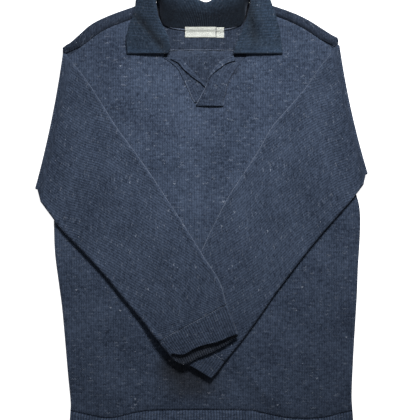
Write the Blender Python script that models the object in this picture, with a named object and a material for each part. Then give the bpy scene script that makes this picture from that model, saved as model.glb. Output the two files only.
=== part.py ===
"""A knitted sweater with a johnny collar, laid on its back with both sleeves folded over its front.

The part's frame: x towards the wearer's left, y towards the neck, z up from the surface that the
sweater lies on. Tables are in millimetres from the middle of the garment, and the meshes in metres.
"""

import math
from collections import namedtuple

import bpy
import bmesh
import numpy as np

# Driving sizes, in millimetres
MM = 0.001
CLOTH = 2.4            # thickness of the body knit and the cuffs
COLLAR_CLOTH = 1.9     # thickness of the collar between its ribs
SLEEVE_CLOTH = 1.8     # thickness of the sleeve knit
HEM_CLOTH = 1.8        # thickness of the hem band
BAND = 1.8             # thickness of the placket bands
LABEL = 0.8            # thickness of the woven label
GAP = 0.3              # clearance between pieces that touch
HEM_DEPTH = 52.0       # depth of the hem band
RIB_RELIEF = 0.45      # height of a rib over the groove beside it
COLLAR_RIBS = 54       # ribs raised along the collar, each for a few of the knit's own
HEM_RIBS = 50          # ribs raised along the front of the hem band
BAND_SEAM = 0.8        # clearance along the seams of the placket bands
SHOULDER_ROLL = 2.9    # radius of the yoke's middle where it turns over the shoulder
SHOULDER_FLARE = 6.0   # how far the ends of the yoke reach out over the tops of the sleeve folds
FLARE_RISE = 3.0       # height over which they do so
FLARE_FALL = 10.0      # height over which they come back
BAND_TURN = 1.6        # radius of a placket band's middle at its fold
BAND_ARCH = 1.6        # rise of the middle of a lapped band for each millimetre that it lies over LAP
LAP = 2.4              # height over the front at which a band clears the one below it
FOLD_BACK = 1.4        # least width that a band is folded back over itself
FOLD_RADIUS = 2.8      # radius of a sleeve's middle where it folds over the side
SLEEVE_FLAT = 2.9      # distance between the middles of a flat sleeve's two walls
SLEEVE_SEAT = 5.8      # height of the underside of a folded sleeve on the front

BACK_MID = CLOTH / 2
FRONT_MID = CLOTH + GAP + CLOTH / 2

# Colours of the knit, the rib, the bands and the woven label
NAVY = (0.046, 0.063, 0.102)
NAVY_RIB = (0.040, 0.057, 0.090)
NAVY_BAND = (0.038, 0.052, 0.085)
OFF_WHITE = (0.62, 0.64, 0.60)


def table(columns, *rows):
    """Rows of numbers under named columns."""
    row_type = namedtuple("Row", columns)
    return [row_type(*row) for row in rows]


# Side seams, from the bottom of the hem to the underarm
RIGHT_SIDE = table("x y", (-230, -341), (-229, -324), (-234, -271), (-243, -169), (-249, -121),
                   (-256, -68), (-258, -26), (-258, 9), (-254, 42))
LEFT_SIDE = table("x y", (265, -341), (263, -312), (266, -241), (272, -140), (274, -89),
                  (277, -40), (278, 0), (274, 30), (262, 61))

# Armholes, from the underarm to the shoulder
RIGHT_ARMHOLE = table("x y", (-254, 42), (-244, 135), (-235, 222), (-230, 284))
LEFT_ARMHOLE = table("x y", (262, 61), (249, 144), (238, 231), (229, 296))

# Shoulder folds, from the armhole to the side of the neck
RIGHT_SHOULDER = table("x y", (-231.5, 303), (-224, 310), (-195, 336.5), (-165, 352), (-130, 365),
                       (-108, 372), (-80, 380))
LEFT_SHOULDER = table("x y", (230.5, 316), (222, 323), (188, 345), (156, 360), (113, 374), (85, 380))

# Front edges of the yoke, from the armhole to the neck
RIGHT_FRONT_SEAM = table("x y", (-230, 284), (-211, 298), (-171, 327), (-125, 346), (-85, 361))
LEFT_FRONT_SEAM = table("x y", (229, 296), (211, 309), (174, 333), (132, 351), (90, 361))

# Seam between the back and the yoke, and the seam above the hem band
BACK_SEAM = table("x y", (-230, 268), (-160, 280), (-53, 292), (53, 292), (155, 284), (230, 273))
HEM_SEAM = table("x y", (-230, -341), (-195, -349), (-160, -354), (-108, -343), (-55, -340),
                 (76, -340), (106, -345), (155, -354), (207, -354), (242, -346), (265, -341))

# Neckline of the front, from the yoke down to the top of the placket
RIGHT_NECK = table("x y", (-87, 361), (-84, 350), (-73, 329), (-63, 310), (-60, 296), (-68, 283))
LEFT_NECK = table("x y", (91, 361), (88, 350), (78, 329), (68, 310), (65, 296), (81, 283))

# Neckline of the yoke, from the wearer's right to the left
BACK_NECK = table("x y", (-74.5, 373), (-70.5, 364), (-68.5, 351), (-61, 339), (-49, 334), (-27, 331),
                  (4, 330), (32, 331), (52, 334), (65, 339), (72.5, 351), (75, 364), (79, 373))

# Bands of the placket from the collar down: seam to the front, fold, width turned out, and how far
# the seam and the fold lie above the middle of the front
RIGHT_BAND = table("seam_x seam_y fold_x fold_y turned seam_lift lift",
                   (-67, 280, -52, 283, 9, 0, 0), (-53, 271, -35, 277, 12, 0, 0),
                   (-41, 260, -24, 265, 12, 0, 0), (-32, 243, -11, 251, 10, 0, 0),
                   (-23, 224, 4, 234, 5, 0, 0), (-17, 210, 15, 217, 1, 0, 0),
                   (-12, 201, 22, 202, 1, 0, 0))
LEFT_BAND = table("seam_x seam_y fold_x fold_y turned seam_lift lift",
                  (80, 280, 56, 283, 12, 0.1, 0.3), (64, 266, 39, 276, 11, 0.2, 0.5),
                  (52, 249, 25, 263, 9, 0.2, 1.2), (45, 233, 14, 247, 4, 0.3, 3.7),
                  (40, 214, 6, 226, 1, 0.5, 4.2), (37, 203, -4, 207, 1, 1.4, 3.6),
                  (37, 194.5, -10, 196, 1, 2.5, 3.4))
PLACKET_BASE = table("x y", (-12.5, 199), (12, 198), (37.5, 198))

# Sleeve rings after the fold: the overarm and underarm edges, how high each lies and how thick it is
RIGHT_SLEEVE = table("over_x over_y under_x under_y over_lift under_lift hold thick",
                     (-225, 270, -281, 26, 0, 0, 0, 5.4), (-204, 244, -267, 7, 0, 0, 0, 5.7),
                     (-178, 205, -248, -18, 0, 0, 0, 6.0), (-148, 157, -223, -45, 0, 0, 0, 6.4),
                     (-118, 117, -195, -74, 0, 0, 0, 6.6), (-83, 67, -167, -105, 0.8, 0, 0, 6.8),
                     (-52, 20, -143, -135, 3.4, 0, 0, 6.8), (-22, -26, -122, -160, 7.2, 1.2, 0.1, 6.8),
                     (4, -68, -102, -183, 9.6, 3.2, 0.45, 6.8), (32, -112, -87, -203, 10.2, 7.0, 0.8, 7.0),
                     (44, -152, -75, -216, 11.2, 10.2, 0.9, 7.2))
LEFT_SLEEVE = table("over_x over_y under_x under_y over_lift under_lift hold thick",
                    (226, 286, 283, 56, 0, 0, 0, 5.4), (207, 263, 270, 39, 0, 0, 0, 5.7),
                    (183, 228, 253, 19, 0, 0, 0, 6.0), (153, 193, 232, -5, 0, 0, 0, 6.4),
                    (123, 158, 207, -34, 0, 0, 0, 6.6), (99, 116, 181, -66, 0, 0, 0, 6.8),
                    (73, 76, 155, -100, 0, 0, 0, 6.8), (48, 38, 130, -133, 0, 0, 0, 6.8),
                    (20, -16, 106, -168, 0, 0, 0, 6.6), (-4, -66, 83, -200, 0, 0, 0, 6.6),
                    (-27, -110, 64, -225, 0.2, 0.2, 0, 6.6), (-45, -150, 50, -242, 0.8, 0.8, 0, 6.6),
                    (-54, -184, 41, -252, 1.6, 1.6, 0, 6.6))
# The folds of the sleeves over the sides of the body, from the shoulder to the bottom, and their bow
RIGHT_FOLD = table("x y", (-243, 287), (-292, 49))
LEFT_FOLD = table("x y", (242, 302), (292, 75))
RIGHT_FOLD_BOW = 4.0
LEFT_FOLD_BOW = 4.5

# Cuff rings from the sleeve to the open end, as the sleeve's; wave lifts the middle of the end
RIGHT_CUFF = table("over_x over_y under_x under_y over_lift under_lift hold thick wave",
                   (44.3, -152.4, -74.8, -216.4, 11.2, 10.2, 0.9, 7.2, 0),
                   (52, -173, -68, -226, 12.2, 11.2, 0.8, 7.8, 0.4),
                   (58, -189, -61, -233, 13.0, 11.8, 0.6, 8.4, 1.0),
                   (64, -203, -55, -240, 13.6, 12.2, 0.5, 9.2, 1.8))
LEFT_CUFF = table("over_x over_y under_x under_y over_lift under_lift hold thick wave",
                  (-54.2, -184.4, 40.8, -252.4, 1.6, 1.6, 0, 6.6, 0),
                  (-62, -200, 34, -263, 2.2, 2.0, 0, 6.8, 0), (-69, -213, 26, -273, 2.4, 2.2, 0, 7.0, 0),
                  (-75, -226, 18, -282, 2.6, 2.4, 0, 7.2, 0))

# How far the walls of the upper cuff reach past its last ring, from the overarm to the underarm edge
RIGHT_LIP = table("part top bottom", (0, 0, 4), (0.15, 1, 10), (0.3, 3, 15), (0.5, 1, 19), (0.64, 2, 20),
                  (0.71, 4, 22), (0.78, 6, 23.5), (0.86, 5, 23.5), (0.94, 0, 15), (1, -3, 5))

# Collar from the wearer's right front round the back to the left front: where it is sewn to the
# neck, where it rolls over and where its free edge lies
COLLAR = table("neck_x neck_y neck_z roll_x roll_y roll_z edge_x edge_y edge_z",
               (-59, 286, 7.0, -60, 286, 11.0, -130, 286, 7.6),
               (-60, 296, 7.0, -55, 297, 13.0, -131, 298, 7.6),
               (-63, 310, 7.0, -58, 312, 15.0, -132, 311, 8.0),
               (-70, 329, 7.4, -66, 329, 18.0, -128, 329, 9.0),
               (-77, 350, 9.8, -75, 347, 22.0, -121, 348, 11.5),
               (-80, 366, 10.9, -79, 366, 25.0, -116, 366, 13.0),
               (-81, 380, 10.9, -81, 384, 27.0, -114, 383, 13.0),
               (-78, 377, 7.2, -77.5, 390, 27.5, -110, 391, 11.6),
               (-73, 366, 4.4, -71, 392, 27.0, -105, 397, 9.5),
               (-71.5, 351, 4.0, -63, 393, 25.0, -92, 401, 4.0),
               (-66, 337, 3.8, -52, 391, 21.0, -73, 392, 2.0),
               (-52, 332, 3.8, -36, 387, 18.0, -48, 375, 1.6),
               (-27, 330, 3.8, -13, 380, 15.0, -22, 358, 1.5),
               (4, 329, 3.8, 8, 376, 14.0, 5, 350, 1.5),
               (32, 330, 3.8, 25, 380, 15.0, 32, 358, 1.5),
               (55, 332, 3.8, 43, 387, 18.0, 57, 375, 1.6),
               (69, 337, 3.8, 59, 391, 21.0, 78, 392, 2.0),
               (75.5, 351, 4.0, 70, 393, 25.0, 94, 401, 4.0),
               (78, 366, 4.4, 79, 392, 27.0, 107, 397, 9.5),
               (83.5, 377, 7.4, 85, 390, 27.5, 114, 391, 11.6),
               (86, 380, 11.2, 88, 384, 27.0, 119, 383, 13.0),
               (84, 366, 11.4, 85, 366, 25.0, 125, 366, 13.0),
               (82, 350, 9.8, 80, 348, 22.0, 131, 349, 11.5),
               (75, 329, 7.4, 74, 331, 18.0, 136, 331, 9.0),
               (68, 310, 7.0, 67, 315, 15.0, 139, 312, 8.0),
               (63, 296, 7.0, 60, 298, 13.0, 141, 298, 7.6),
               (60, 286, 7.0, 57, 286, 11.0, 142, 286, 7.6))

# The label's height over the yoke, from its bottom to its top edge, which lies on the collar's seam
LABEL_RISE = table("y lift", (315, 0), (324, 0), (328.4, 2.4), (333, 3.3))

# Angles of the points that round the two edges of a flattened tube
END_ARC = (45, 90, 135)

# Soft folds of the front: the crest's ends, its half width and its height
FRONT_FOLDS = table("x0 y0 x1 y1 width height",
                    (112, -290, 150, -330, 17, 2.6), (-60, -300, -95, -215, 26, 1.6),
                    (90, 250, 150, 200, 24, 1.2), (-150, 250, -95, 190, 26, 1.2),
                    (190, -230, 205, -90, 24, 1.4), (-200, -250, -185, -120, 24, 1.4))


def clear_scene():
    for old in list(bpy.data.objects):
        bpy.data.objects.remove(old, do_unlink=True)


def material(name, colour, roughness):
    made = bpy.data.materials.new(name)
    made.use_nodes = True
    shader = made.node_tree.nodes["Principled BSDF"]
    shader.inputs["Base Color"].default_value = (*colour, 1.0)
    shader.inputs["Roughness"].default_value = roughness
    shader.inputs["Metallic"].default_value = 0.0
    made.diffuse_color = (*colour, 1.0)
    return made


def smoothstep(value):
    value = np.clip(value, 0.0, 1.0)
    return value * value * (3 - 2 * value)


def columns_of(rows):
    return np.array([tuple(row) for row in rows], dtype=float)


def smooth_rows(rows, parameter):
    """Read the rows of a table on a smooth curve through them, at parameters from 0 to 1."""
    values = columns_of(rows)
    last = len(values) - 1
    place = np.clip(np.asarray(parameter, dtype=float), 0, 1) * last
    index = np.minimum(place.astype(int), last - 1)
    part = (place - index)[:, None]
    before = values[np.maximum(index - 1, 0)]
    start = values[index]
    end = values[index + 1]
    after = values[np.minimum(index + 2, last)]
    before = np.where((index == 0)[:, None], 2 * start - end, before)
    after = np.where((index == last - 1)[:, None], 2 * end - start, after)
    return 0.5 * (2 * start + (end - before) * part + (2 * before - 5 * start + 4 * end - after) * part ** 2
                  + (3 * start - before - 3 * end + after) * part ** 3)


def even_curve(rows, count):
    """Points at even distances along the smooth curve through the rows."""
    dense = smooth_rows(rows, np.linspace(0, 1, 40 * len(rows)))
    return spaced(dense, np.linspace(0, 1, count))


def spaced(points, fractions):
    """Points of a polyline at fractions of its length."""
    steps = np.linalg.norm(np.diff(points, axis=0), axis=1)
    length = np.concatenate([[0], np.cumsum(steps)])
    wanted = np.asarray(fractions) * length[-1]
    return np.stack([np.interp(wanted, length, points[:, axis]) for axis in range(points.shape[1])], axis=1)


def front_rise(x, y):
    """How far the soft folds lift the front, in millimetres."""
    rise = np.zeros_like(np.asarray(x, dtype=float))
    for fold in FRONT_FOLDS:
        along = np.array([fold.x1 - fold.x0, fold.y1 - fold.y0], dtype=float)
        length = np.linalg.norm(along)
        along /= length
        run = (x - fold.x0) * along[0] + (y - fold.y0) * along[1]
        aside = (x - fold.x0) * along[1] - (y - fold.y0) * along[0]
        past = np.maximum(np.maximum(-run, run - length), 0) / (2 * fold.width)
        rise = rise + fold.height * np.exp(-(aside / fold.width) ** 2 - past ** 2)
    return rise


def coons(bottom, top, left, right):
    """A grid of points between four edge curves, indexed along the bottom and then up the side."""
    across = np.linspace(0, 1, len(bottom))[:, None, None]
    up = np.linspace(0, 1, len(left))[None, :, None]
    ruled_up = (1 - up) * bottom[:, None, :] + up * top[:, None, :]
    ruled_across = (1 - across) * left[None, :, :] + across * right[None, :, :]
    corners = ((1 - across) * (1 - up) * bottom[0] + across * (1 - up) * bottom[-1]
               + (1 - across) * up * top[0] + across * up * top[-1])
    return ruled_up + ruled_across - corners


def grid_normals(grid, closed):
    """Unit normals of a grid of points; closed says whether its first direction is a loop."""
    if closed:
        along = np.roll(grid, -1, axis=0) - np.roll(grid, 1, axis=0)
    else:
        along = np.gradient(grid, axis=0)
    across = np.gradient(grid, axis=1)
    normal = np.cross(along, across)
    return normal / np.maximum(np.linalg.norm(normal, axis=2, keepdims=True), 1e-9)


def wall(name, mid, thickness, finish, closed=False, relief=None, hole=None):
    """Make one closed wall of cloth round a grid of points on its middle surface.

    relief raises the outer points, on the side that the normals point to; hole marks the cells of
    the grid that are left open.
    """
    normal = grid_normals(mid, closed)
    raised = thickness / 2 if relief is None else thickness / 2 + relief[:, :, None]
    outer = (mid + normal * raised) * MM
    inner = (mid - normal * thickness / 2) * MM
    across, up = mid.shape[:2]
    mesh = bpy.data.meshes.new(name)
    bm = bmesh.new()
    outer_verts = [[bm.verts.new(outer[i, j]) for j in range(up)] for i in range(across)]
    inner_verts = [[bm.verts.new(inner[i, j]) for j in range(up)] for i in range(across)]
    cells = []
    for i in range(across if closed else across - 1):
        for j in range(up - 1):
            if hole is None or not hole[i, j]:
                cells.append((i, (i + 1) % across, j, j + 1))
    for i, k, j, m in cells:
        bm.faces.new((outer_verts[i][j], outer_verts[k][j], outer_verts[k][m], outer_verts[i][m]))
        bm.faces.new((inner_verts[i][m], inner_verts[k][m], inner_verts[k][j], inner_verts[i][j]))
    bm.verts.index_update()
    pairs = {outer_verts[i][j]: inner_verts[i][j] for i in range(across) for j in range(up)}
    for edge in [edge for edge in bm.edges if edge.is_boundary and edge.verts[0] in pairs]:
        loop = edge.link_loops[0]
        start, end = loop.vert, loop.link_loop_next.vert
        bm.faces.new((end, start, pairs[start], pairs[end]))
    loose = [vert for vert in bm.verts if not vert.link_faces]
    bmesh.ops.delete(bm, geom=loose, context="VERTS")
    bm.to_mesh(mesh)
    bm.free()
    mesh.shade_smooth()
    mesh.set_sharp_from_angle(angle=math.radians(50))
    mesh.materials.append(finish)
    made = bpy.data.objects.new(name, mesh)
    bpy.context.scene.collection.objects.link(made)
    return made


def from_side(count, near):
    """Fractions from 0 to 1 that start with a few close steps and then widen."""
    even = np.linspace(0, 1, count - len(near))[1:]
    return np.concatenate([[0], near, near[-1] + (1 - near[-1]) * even])


def with_height(points, height):
    height = np.broadcast_to(np.asarray(height, dtype=float), points.shape[:1])
    return np.concatenate([points, height[:, None]], axis=1)


def make_back(finish):
    """The back: a flat panel from the hem seam to the seam of the yoke, inside the front's edges."""
    inset = 5.4
    columns, side_rows, arm_rows = 11, 9, 4
    left_edge = np.concatenate([even_curve(RIGHT_SIDE, side_rows), even_curve(RIGHT_ARMHOLE, arm_rows)[1:]])
    right_edge = np.concatenate([even_curve(LEFT_SIDE, side_rows), even_curve(LEFT_ARMHOLE, arm_rows)[1:]])
    left_edge = left_edge + (inset, 0)
    right_edge = right_edge - (inset, 0)
    top = even_curve(BACK_SEAM, columns)
    left_edge[-1] = top[0]
    right_edge[-1] = top[-1]
    bottom = even_curve(HEM_SEAM, columns)
    bottom = bottom + (0, 4 * GAP)
    bottom[0] = left_edge[0] = (left_edge[0][0], bottom[0][1])
    bottom[-1] = right_edge[0] = (right_edge[0][0], bottom[-1][1])
    flat = coons(bottom, top, left_edge, right_edge)
    mid = np.concatenate([flat, np.full(flat.shape[:2] + (1,), BACK_MID)], axis=2)
    return wall("back_panel", mid, CLOTH, finish)


def make_front(finish):
    """The front: two halves that share the cloth below the placket and part at the open neck."""
    near = np.array([0.006, 0.016, 0.035])
    half_columns, side_rows, low_rows, slit_rows, neck_rows, base_columns = 11, 13, 5, 6, 5, 2
    base_row = side_rows + low_rows - 2

    def half(side, armhole, seam, neck, band, base_end, hem_part):
        arm = smooth_rows(armhole, np.linspace(0, 1, 100))
        high_parts = np.linspace(0.66, 1, slit_rows + neck_rows)[1:]
        arm_parts = np.concatenate([np.linspace(0, 0.66, low_rows), high_parts])
        edge = np.concatenate([even_curve(side, side_rows), spaced(arm, arm_parts)[1:]])
        slit = smooth_rows(band, np.linspace(1, 0, slit_rows + 1))[:, :2]
        slit[0] = base_end
        above = np.concatenate([slit, even_curve(neck[::-1], neck_rows)[1:]])
        foot = smooth_rows(HEM_SEAM, np.array([hem_part]))[0]
        below = foot + (above[0] - foot) * np.linspace(0, 1, base_row + 1)[:, None]
        middle = np.concatenate([below, above[1:]])
        fractions = from_side(half_columns, near)
        dense_top = smooth_rows(seam, np.linspace(0, 1, 200))
        hem_range = np.linspace(0 if side is RIGHT_SIDE else 1, hem_part, 200)
        dense_bottom = smooth_rows(HEM_SEAM, hem_range)
        top = spaced(dense_top, fractions)
        bottom = spaced(dense_bottom, fractions) + (0, GAP)
        edge[0] = bottom[0]
        edge[-1] = top[0]
        middle[0] = bottom[-1]
        middle[-1] = top[-1]
        grid = np.zeros((half_columns, len(edge), 2))
        up = np.linspace(0, 1, len(edge))
        for i, part in enumerate(fractions):
            line = (1 - part) * edge + part * middle
            miss_bottom = bottom[i] - line[0]
            miss_top = top[i] - line[-1]
            grid[i] = line + miss_bottom * (1 - up[:, None]) + miss_top * smoothstep(up[:, None] * 3 - 2)
        return grid

    base = columns_of(PLACKET_BASE)
    right = half(RIGHT_SIDE, RIGHT_ARMHOLE, RIGHT_FRONT_SEAM, RIGHT_NECK, RIGHT_BAND, base[0], 0.45)
    left = half(LEFT_SIDE, LEFT_ARMHOLE, LEFT_FRONT_SEAM, LEFT_NECK, LEFT_BAND, base[-1], 0.53)
    middle = [(1 - part) * right[-1] + part * left[-1]
              for part in np.linspace(0, 1, base_columns + 1)[1:-1]]
    flat = np.concatenate([right, np.array(middle), left[::-1]])
    height = FRONT_MID + front_rise(flat[:, :, 0], flat[:, :, 1])
    rows = np.arange(flat.shape[1])
    below_arm = 1 - smoothstep((rows - (side_rows - 3)) / 2.0)
    drops = [3.0, 1.1, 0.3]
    for column, drop in enumerate(drops):
        for end in (column, -1 - column):
            height[end] = height[end] - drop * below_arm
            height[end] = np.maximum(height[end], CLOTH / 2 + 0.2 if column == 0 else 0)
    height[:, -1] = FRONT_MID - 0.1
    mid = np.concatenate([flat, height[:, :, None]], axis=2)
    hole = np.zeros((mid.shape[0] - 1, mid.shape[1] - 1), dtype=bool)
    hole[half_columns - 1:half_columns - 1 + base_columns, base_row:] = True
    for column, inset in enumerate((1.55, 1.55, 1.3, 0.8)):
        mid[column, side_rows - 1:] += (inset, 0, 0)
        mid[-1 - column, side_rows - 1:] -= (inset, 0, 0)
    return wall("front_panel", mid, CLOTH, finish, hole=hole)


def yoke_line(back, edge, front):
    """The yoke's middle from the back seam to the shoulder, round it and down to the front seam."""
    inward = (back - edge) / np.linalg.norm(back - edge)
    centre = edge + inward * (SHOULDER_ROLL + CLOTH / 2)
    arc = [np.append(centre - inward * SHOULDER_ROLL * math.cos(angle),
                     BACK_MID + SHOULDER_ROLL + SHOULDER_ROLL * math.sin(angle))
           for angle in np.linspace(-math.pi / 2, math.pi / 2, 13)]
    end = np.append(front, FRONT_MID + 0.2)
    crest = arc[-1] + (end - arc[-1]) * 0.55
    crest[2] = arc[-1][2] - 0.2
    back_part = spaced(np.array([np.append(back, BACK_MID), arc[0]]), (0, 0.27, 0.54, 0.81, 1))
    arc_part = spaced(np.array(arc), np.linspace(0, 1, 6))[1:]
    slope = smooth_rows([tuple(point) for point in (arc[-1], crest, end)], np.linspace(0, 1, 12))
    front_part = spaced(slope, np.linspace(0, 1, 4))[1:]
    return np.concatenate([back_part, arc_part, front_part])


def make_yoke(finish):
    """The back yoke: flat inside the neck, turned over the shoulders to a seam on the front."""
    seam_points = even_curve(BACK_SEAM, 200)
    shoulder_stations = 9
    neck_share = 0.33
    halves = []
    for shoulder, seam, end in ((RIGHT_SHOULDER, RIGHT_FRONT_SEAM, 0), (LEFT_SHOULDER, LEFT_FRONT_SEAM, 1)):
        edges = even_curve(shoulder, shoulder_stations)
        fronts = even_curve(seam, shoulder_stations)
        backs = spaced(seam_points, np.linspace(end, abs(end - neck_share), shoulder_stations))
        half = []
        for back, edge, front in zip(backs, edges, fronts):
            upward = (edge - front) / np.linalg.norm(edge - front)
            half.append(yoke_line(back, edge, front + upward * (GAP + 1.0)))
        halves.append(half)
    # Behind the neck the cloth ends at the neckline, and the rest of each line only guides the normals
    neck_row = 3
    neck = []
    beyond = np.arange(len(halves[0][0])) / neck_row
    for row in BACK_NECK:
        seam_x = row.x * 0.95
        start = np.array([seam_x, np.interp(seam_x, seam_points[:, 0], seam_points[:, 1]), BACK_MID])
        neck.append(start + ((row.x, row.y, BACK_MID) - start) * beyond[:, None])
    for half, column in ((halves[0], 0), (halves[1], -1)):
        neck[column][neck_row + 1:] = (2 * half[-1] - half[-2])[neck_row + 1:]
    mid = np.array(halves[0] + neck + halves[1][::-1])
    hole = np.zeros((mid.shape[0] - 1, mid.shape[1] - 1), dtype=bool)
    hole[shoulder_stations - 1:shoulder_stations + len(neck), neck_row:] = True
    mid[0] += (1.4, 0.4, 0)
    mid[-1] += (-1.4, 0.4, 0)
    mid[:, 0, 1] += GAP
    for column, outward, foot in ((0, -1, RIGHT_FOLD[0].y), (-1, 1, LEFT_FOLD[0].y)):
        above = mid[column, :, 1] - foot
        flare = smoothstep(above / FLARE_RISE) * (1 - smoothstep((above - FLARE_RISE) / FLARE_FALL))
        mid[column, :, 0] += outward * SHOULDER_FLARE * flare
    return wall("yoke", mid[:, ::-1], CLOTH, finish, hole=hole[:, ::-1])


def flat_ring(over, under, low, thick, columns, cloth, hold=0.0, wave=0.0):
    """One ring of a flattened tube between its overarm and underarm edges, on its walls' middles.

    over and under are the outermost points in plan, low is the height of the underside at each end.
    """
    radius = (thick - cloth) / 2
    chord = under - over
    length = np.linalg.norm(chord)
    chord = chord / length
    inset = thick / 2
    parts = np.linspace(0, 1, columns)
    start = over + chord * inset
    end = under - chord * inset

    def place(part):
        """The centre line of the ring at a fraction of its length."""
        flat = start + (end - start) * part
        lift = low[0] + (low[1] - low[0]) * smoothstep(np.array((part - hold) / (1 - hold)))
        height = float(lift) + thick / 2 + wave * math.sin(math.pi * part) ** 2
        return np.append(flat, height)

    points = []
    for part in parts:
        points.append(place(part) + (0, 0, radius))
    for angle in END_ARC:
        turn = math.radians(90 - angle)
        points.append(place(1.0) + np.append(chord * radius * math.cos(turn), radius * math.sin(turn)))
    for part in parts[::-1]:
        points.append(place(part) - (0, 0, radius))
    for angle in END_ARC:
        turn = math.radians(90 - angle)
        points.append(place(0.0) + np.append(-chord * radius * math.cos(turn), -radius * math.sin(turn)))
    return np.array(points)


def fold_rings(fold, bow, outward, columns, count):
    """Rings that carry a flat sleeve round the fold at the side of the body."""
    over, under = columns_of(fold)
    length = np.linalg.norm(under - over)
    chord = (under - over) / length
    away = np.array([-chord[1], chord[0]])
    if away[0] * outward < 0:
        away = -away
    half = (SLEEVE_FLAT + SLEEVE_CLOTH) / 2
    centre_height = SLEEVE_SEAT - FOLD_RADIUS + half
    inset = away * (FOLD_RADIUS + half)
    flat = flat_ring(over - inset, under - inset, (0, 0), 2 * half, columns, SLEEVE_CLOTH)
    spread = np.clip(((flat[:, :2] - over) @ chord) / length, 0, 1)
    bend = bow * 4 * spread * (1 - spread)
    radius = FOLD_RADIUS + half - flat[:, 2]
    rings = []
    for angle in np.linspace(0, math.pi, count):
        ring = flat.copy()
        ring[:, :2] += np.outer(radius * math.sin(angle) - bend, away)
        ring[:, 2] = centre_height - radius * math.cos(angle)
        rings.append(ring)
    return rings


def make_sleeve(name, armhole, fold, bow, rows, outward, finish):
    """A sleeve: flat beside the armhole, folded over the side, then laid across the front."""
    columns, bend_rings, laid_rings = 10, 7, 14
    bend = fold_rings(fold, bow, outward, columns, bend_rings)
    arm_over = columns_of(armhole)[-1] + (outward * 1.2, 0)
    arm_under = columns_of(armhole)[0] + (outward * 3.8, 0)
    root = flat_ring(arm_over, arm_under, (0, 0), SLEEVE_FLAT + SLEEVE_CLOTH, columns, SLEEVE_CLOTH)
    root[:, 2] = bend[0][:, 2]
    laid = []
    for values in smooth_rows(rows, np.linspace(0, 1, laid_rings)):
        over, under = values[0:2], values[2:4]
        low = (SLEEVE_SEAT + max(values[4], 0), SLEEVE_SEAT + max(values[5], 0))
        ring = flat_ring(over, under, low, values[7], columns, SLEEVE_CLOTH, hold=max(values[6], 0))
        ring[:, 2] += front_rise(ring[:, 0], ring[:, 1])
        laid.append(turned_over(ring, columns))
    grid = np.swapaxes(np.array([root, (root + bend[0]) / 2] + bend + laid), 0, 1)
    if outward > 0:
        grid = grid[::-1]
    return wall(name, grid, SLEEVE_CLOTH, finish, closed=True)


def turned_over(ring, columns):
    """The same ring with its upper and lower walls changed over, as after the fold."""
    arcs = len(END_ARC)
    top = ring[:columns]
    end = ring[columns:columns + arcs]
    bottom = ring[columns + arcs:2 * columns + arcs]
    start = ring[2 * columns + arcs:]
    return np.concatenate([bottom[::-1], end[::-1], top[::-1], start[::-1]])


def reach_past(ring, over, under, lip, columns, share):
    """Move the walls of a ring past it, towards the open end, by a share of the lip's reach."""
    chord = under - over
    length = np.linalg.norm(chord)
    ahead = np.array([-chord[1], chord[0]]) / length
    if ahead[1] > 0:
        ahead = -ahead
    rows = columns_of(lip)
    part = np.clip((ring[:, :2] - over) @ chord / length ** 2, 0, 1)
    top = np.interp(part, rows[:, 0], rows[:, 1])
    bottom = np.interp(part, rows[:, 0], rows[:, 2])
    lower = np.zeros(len(ring))
    arcs = len(END_ARC)
    lower[columns:columns + arcs] = np.linspace(0, 1, arcs + 2)[1:-1]
    lower[columns + arcs:] = 1
    lower[-arcs:] = np.linspace(1, 0, arcs + 2)[1:-1]
    ring[:, :2] += np.outer((top + (bottom - top) * lower) * share, ahead)
    return ring


def make_cuff(name, rows, outward, lip, finish):
    """A ribbed cuff: the open end of the sleeve, with ribs along its length on the outside."""
    columns = 22
    rings = []
    for number, row in enumerate(rows):
        over = np.array((row.over_x, row.over_y), dtype=float)
        under = np.array((row.under_x, row.under_y), dtype=float)
        low = (SLEEVE_SEAT + row.over_lift, SLEEVE_SEAT + row.under_lift)
        ring = flat_ring(over, under, low, row.thick, columns, CLOTH, row.hold, row.wave)
        if lip:
            ring = reach_past(ring, over, under, lip, columns, (number / (len(rows) - 1)) ** 2)
        rings.append(turned_over(ring, columns))
    grid = np.swapaxes(np.array(rings), 0, 1)
    if outward > 0:
        grid = grid[::-1]
    relief = np.zeros(grid.shape[:2])
    relief[::2] = -RIB_RELIEF
    return wall(name, grid, CLOTH, finish, closed=True, relief=relief)


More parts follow.
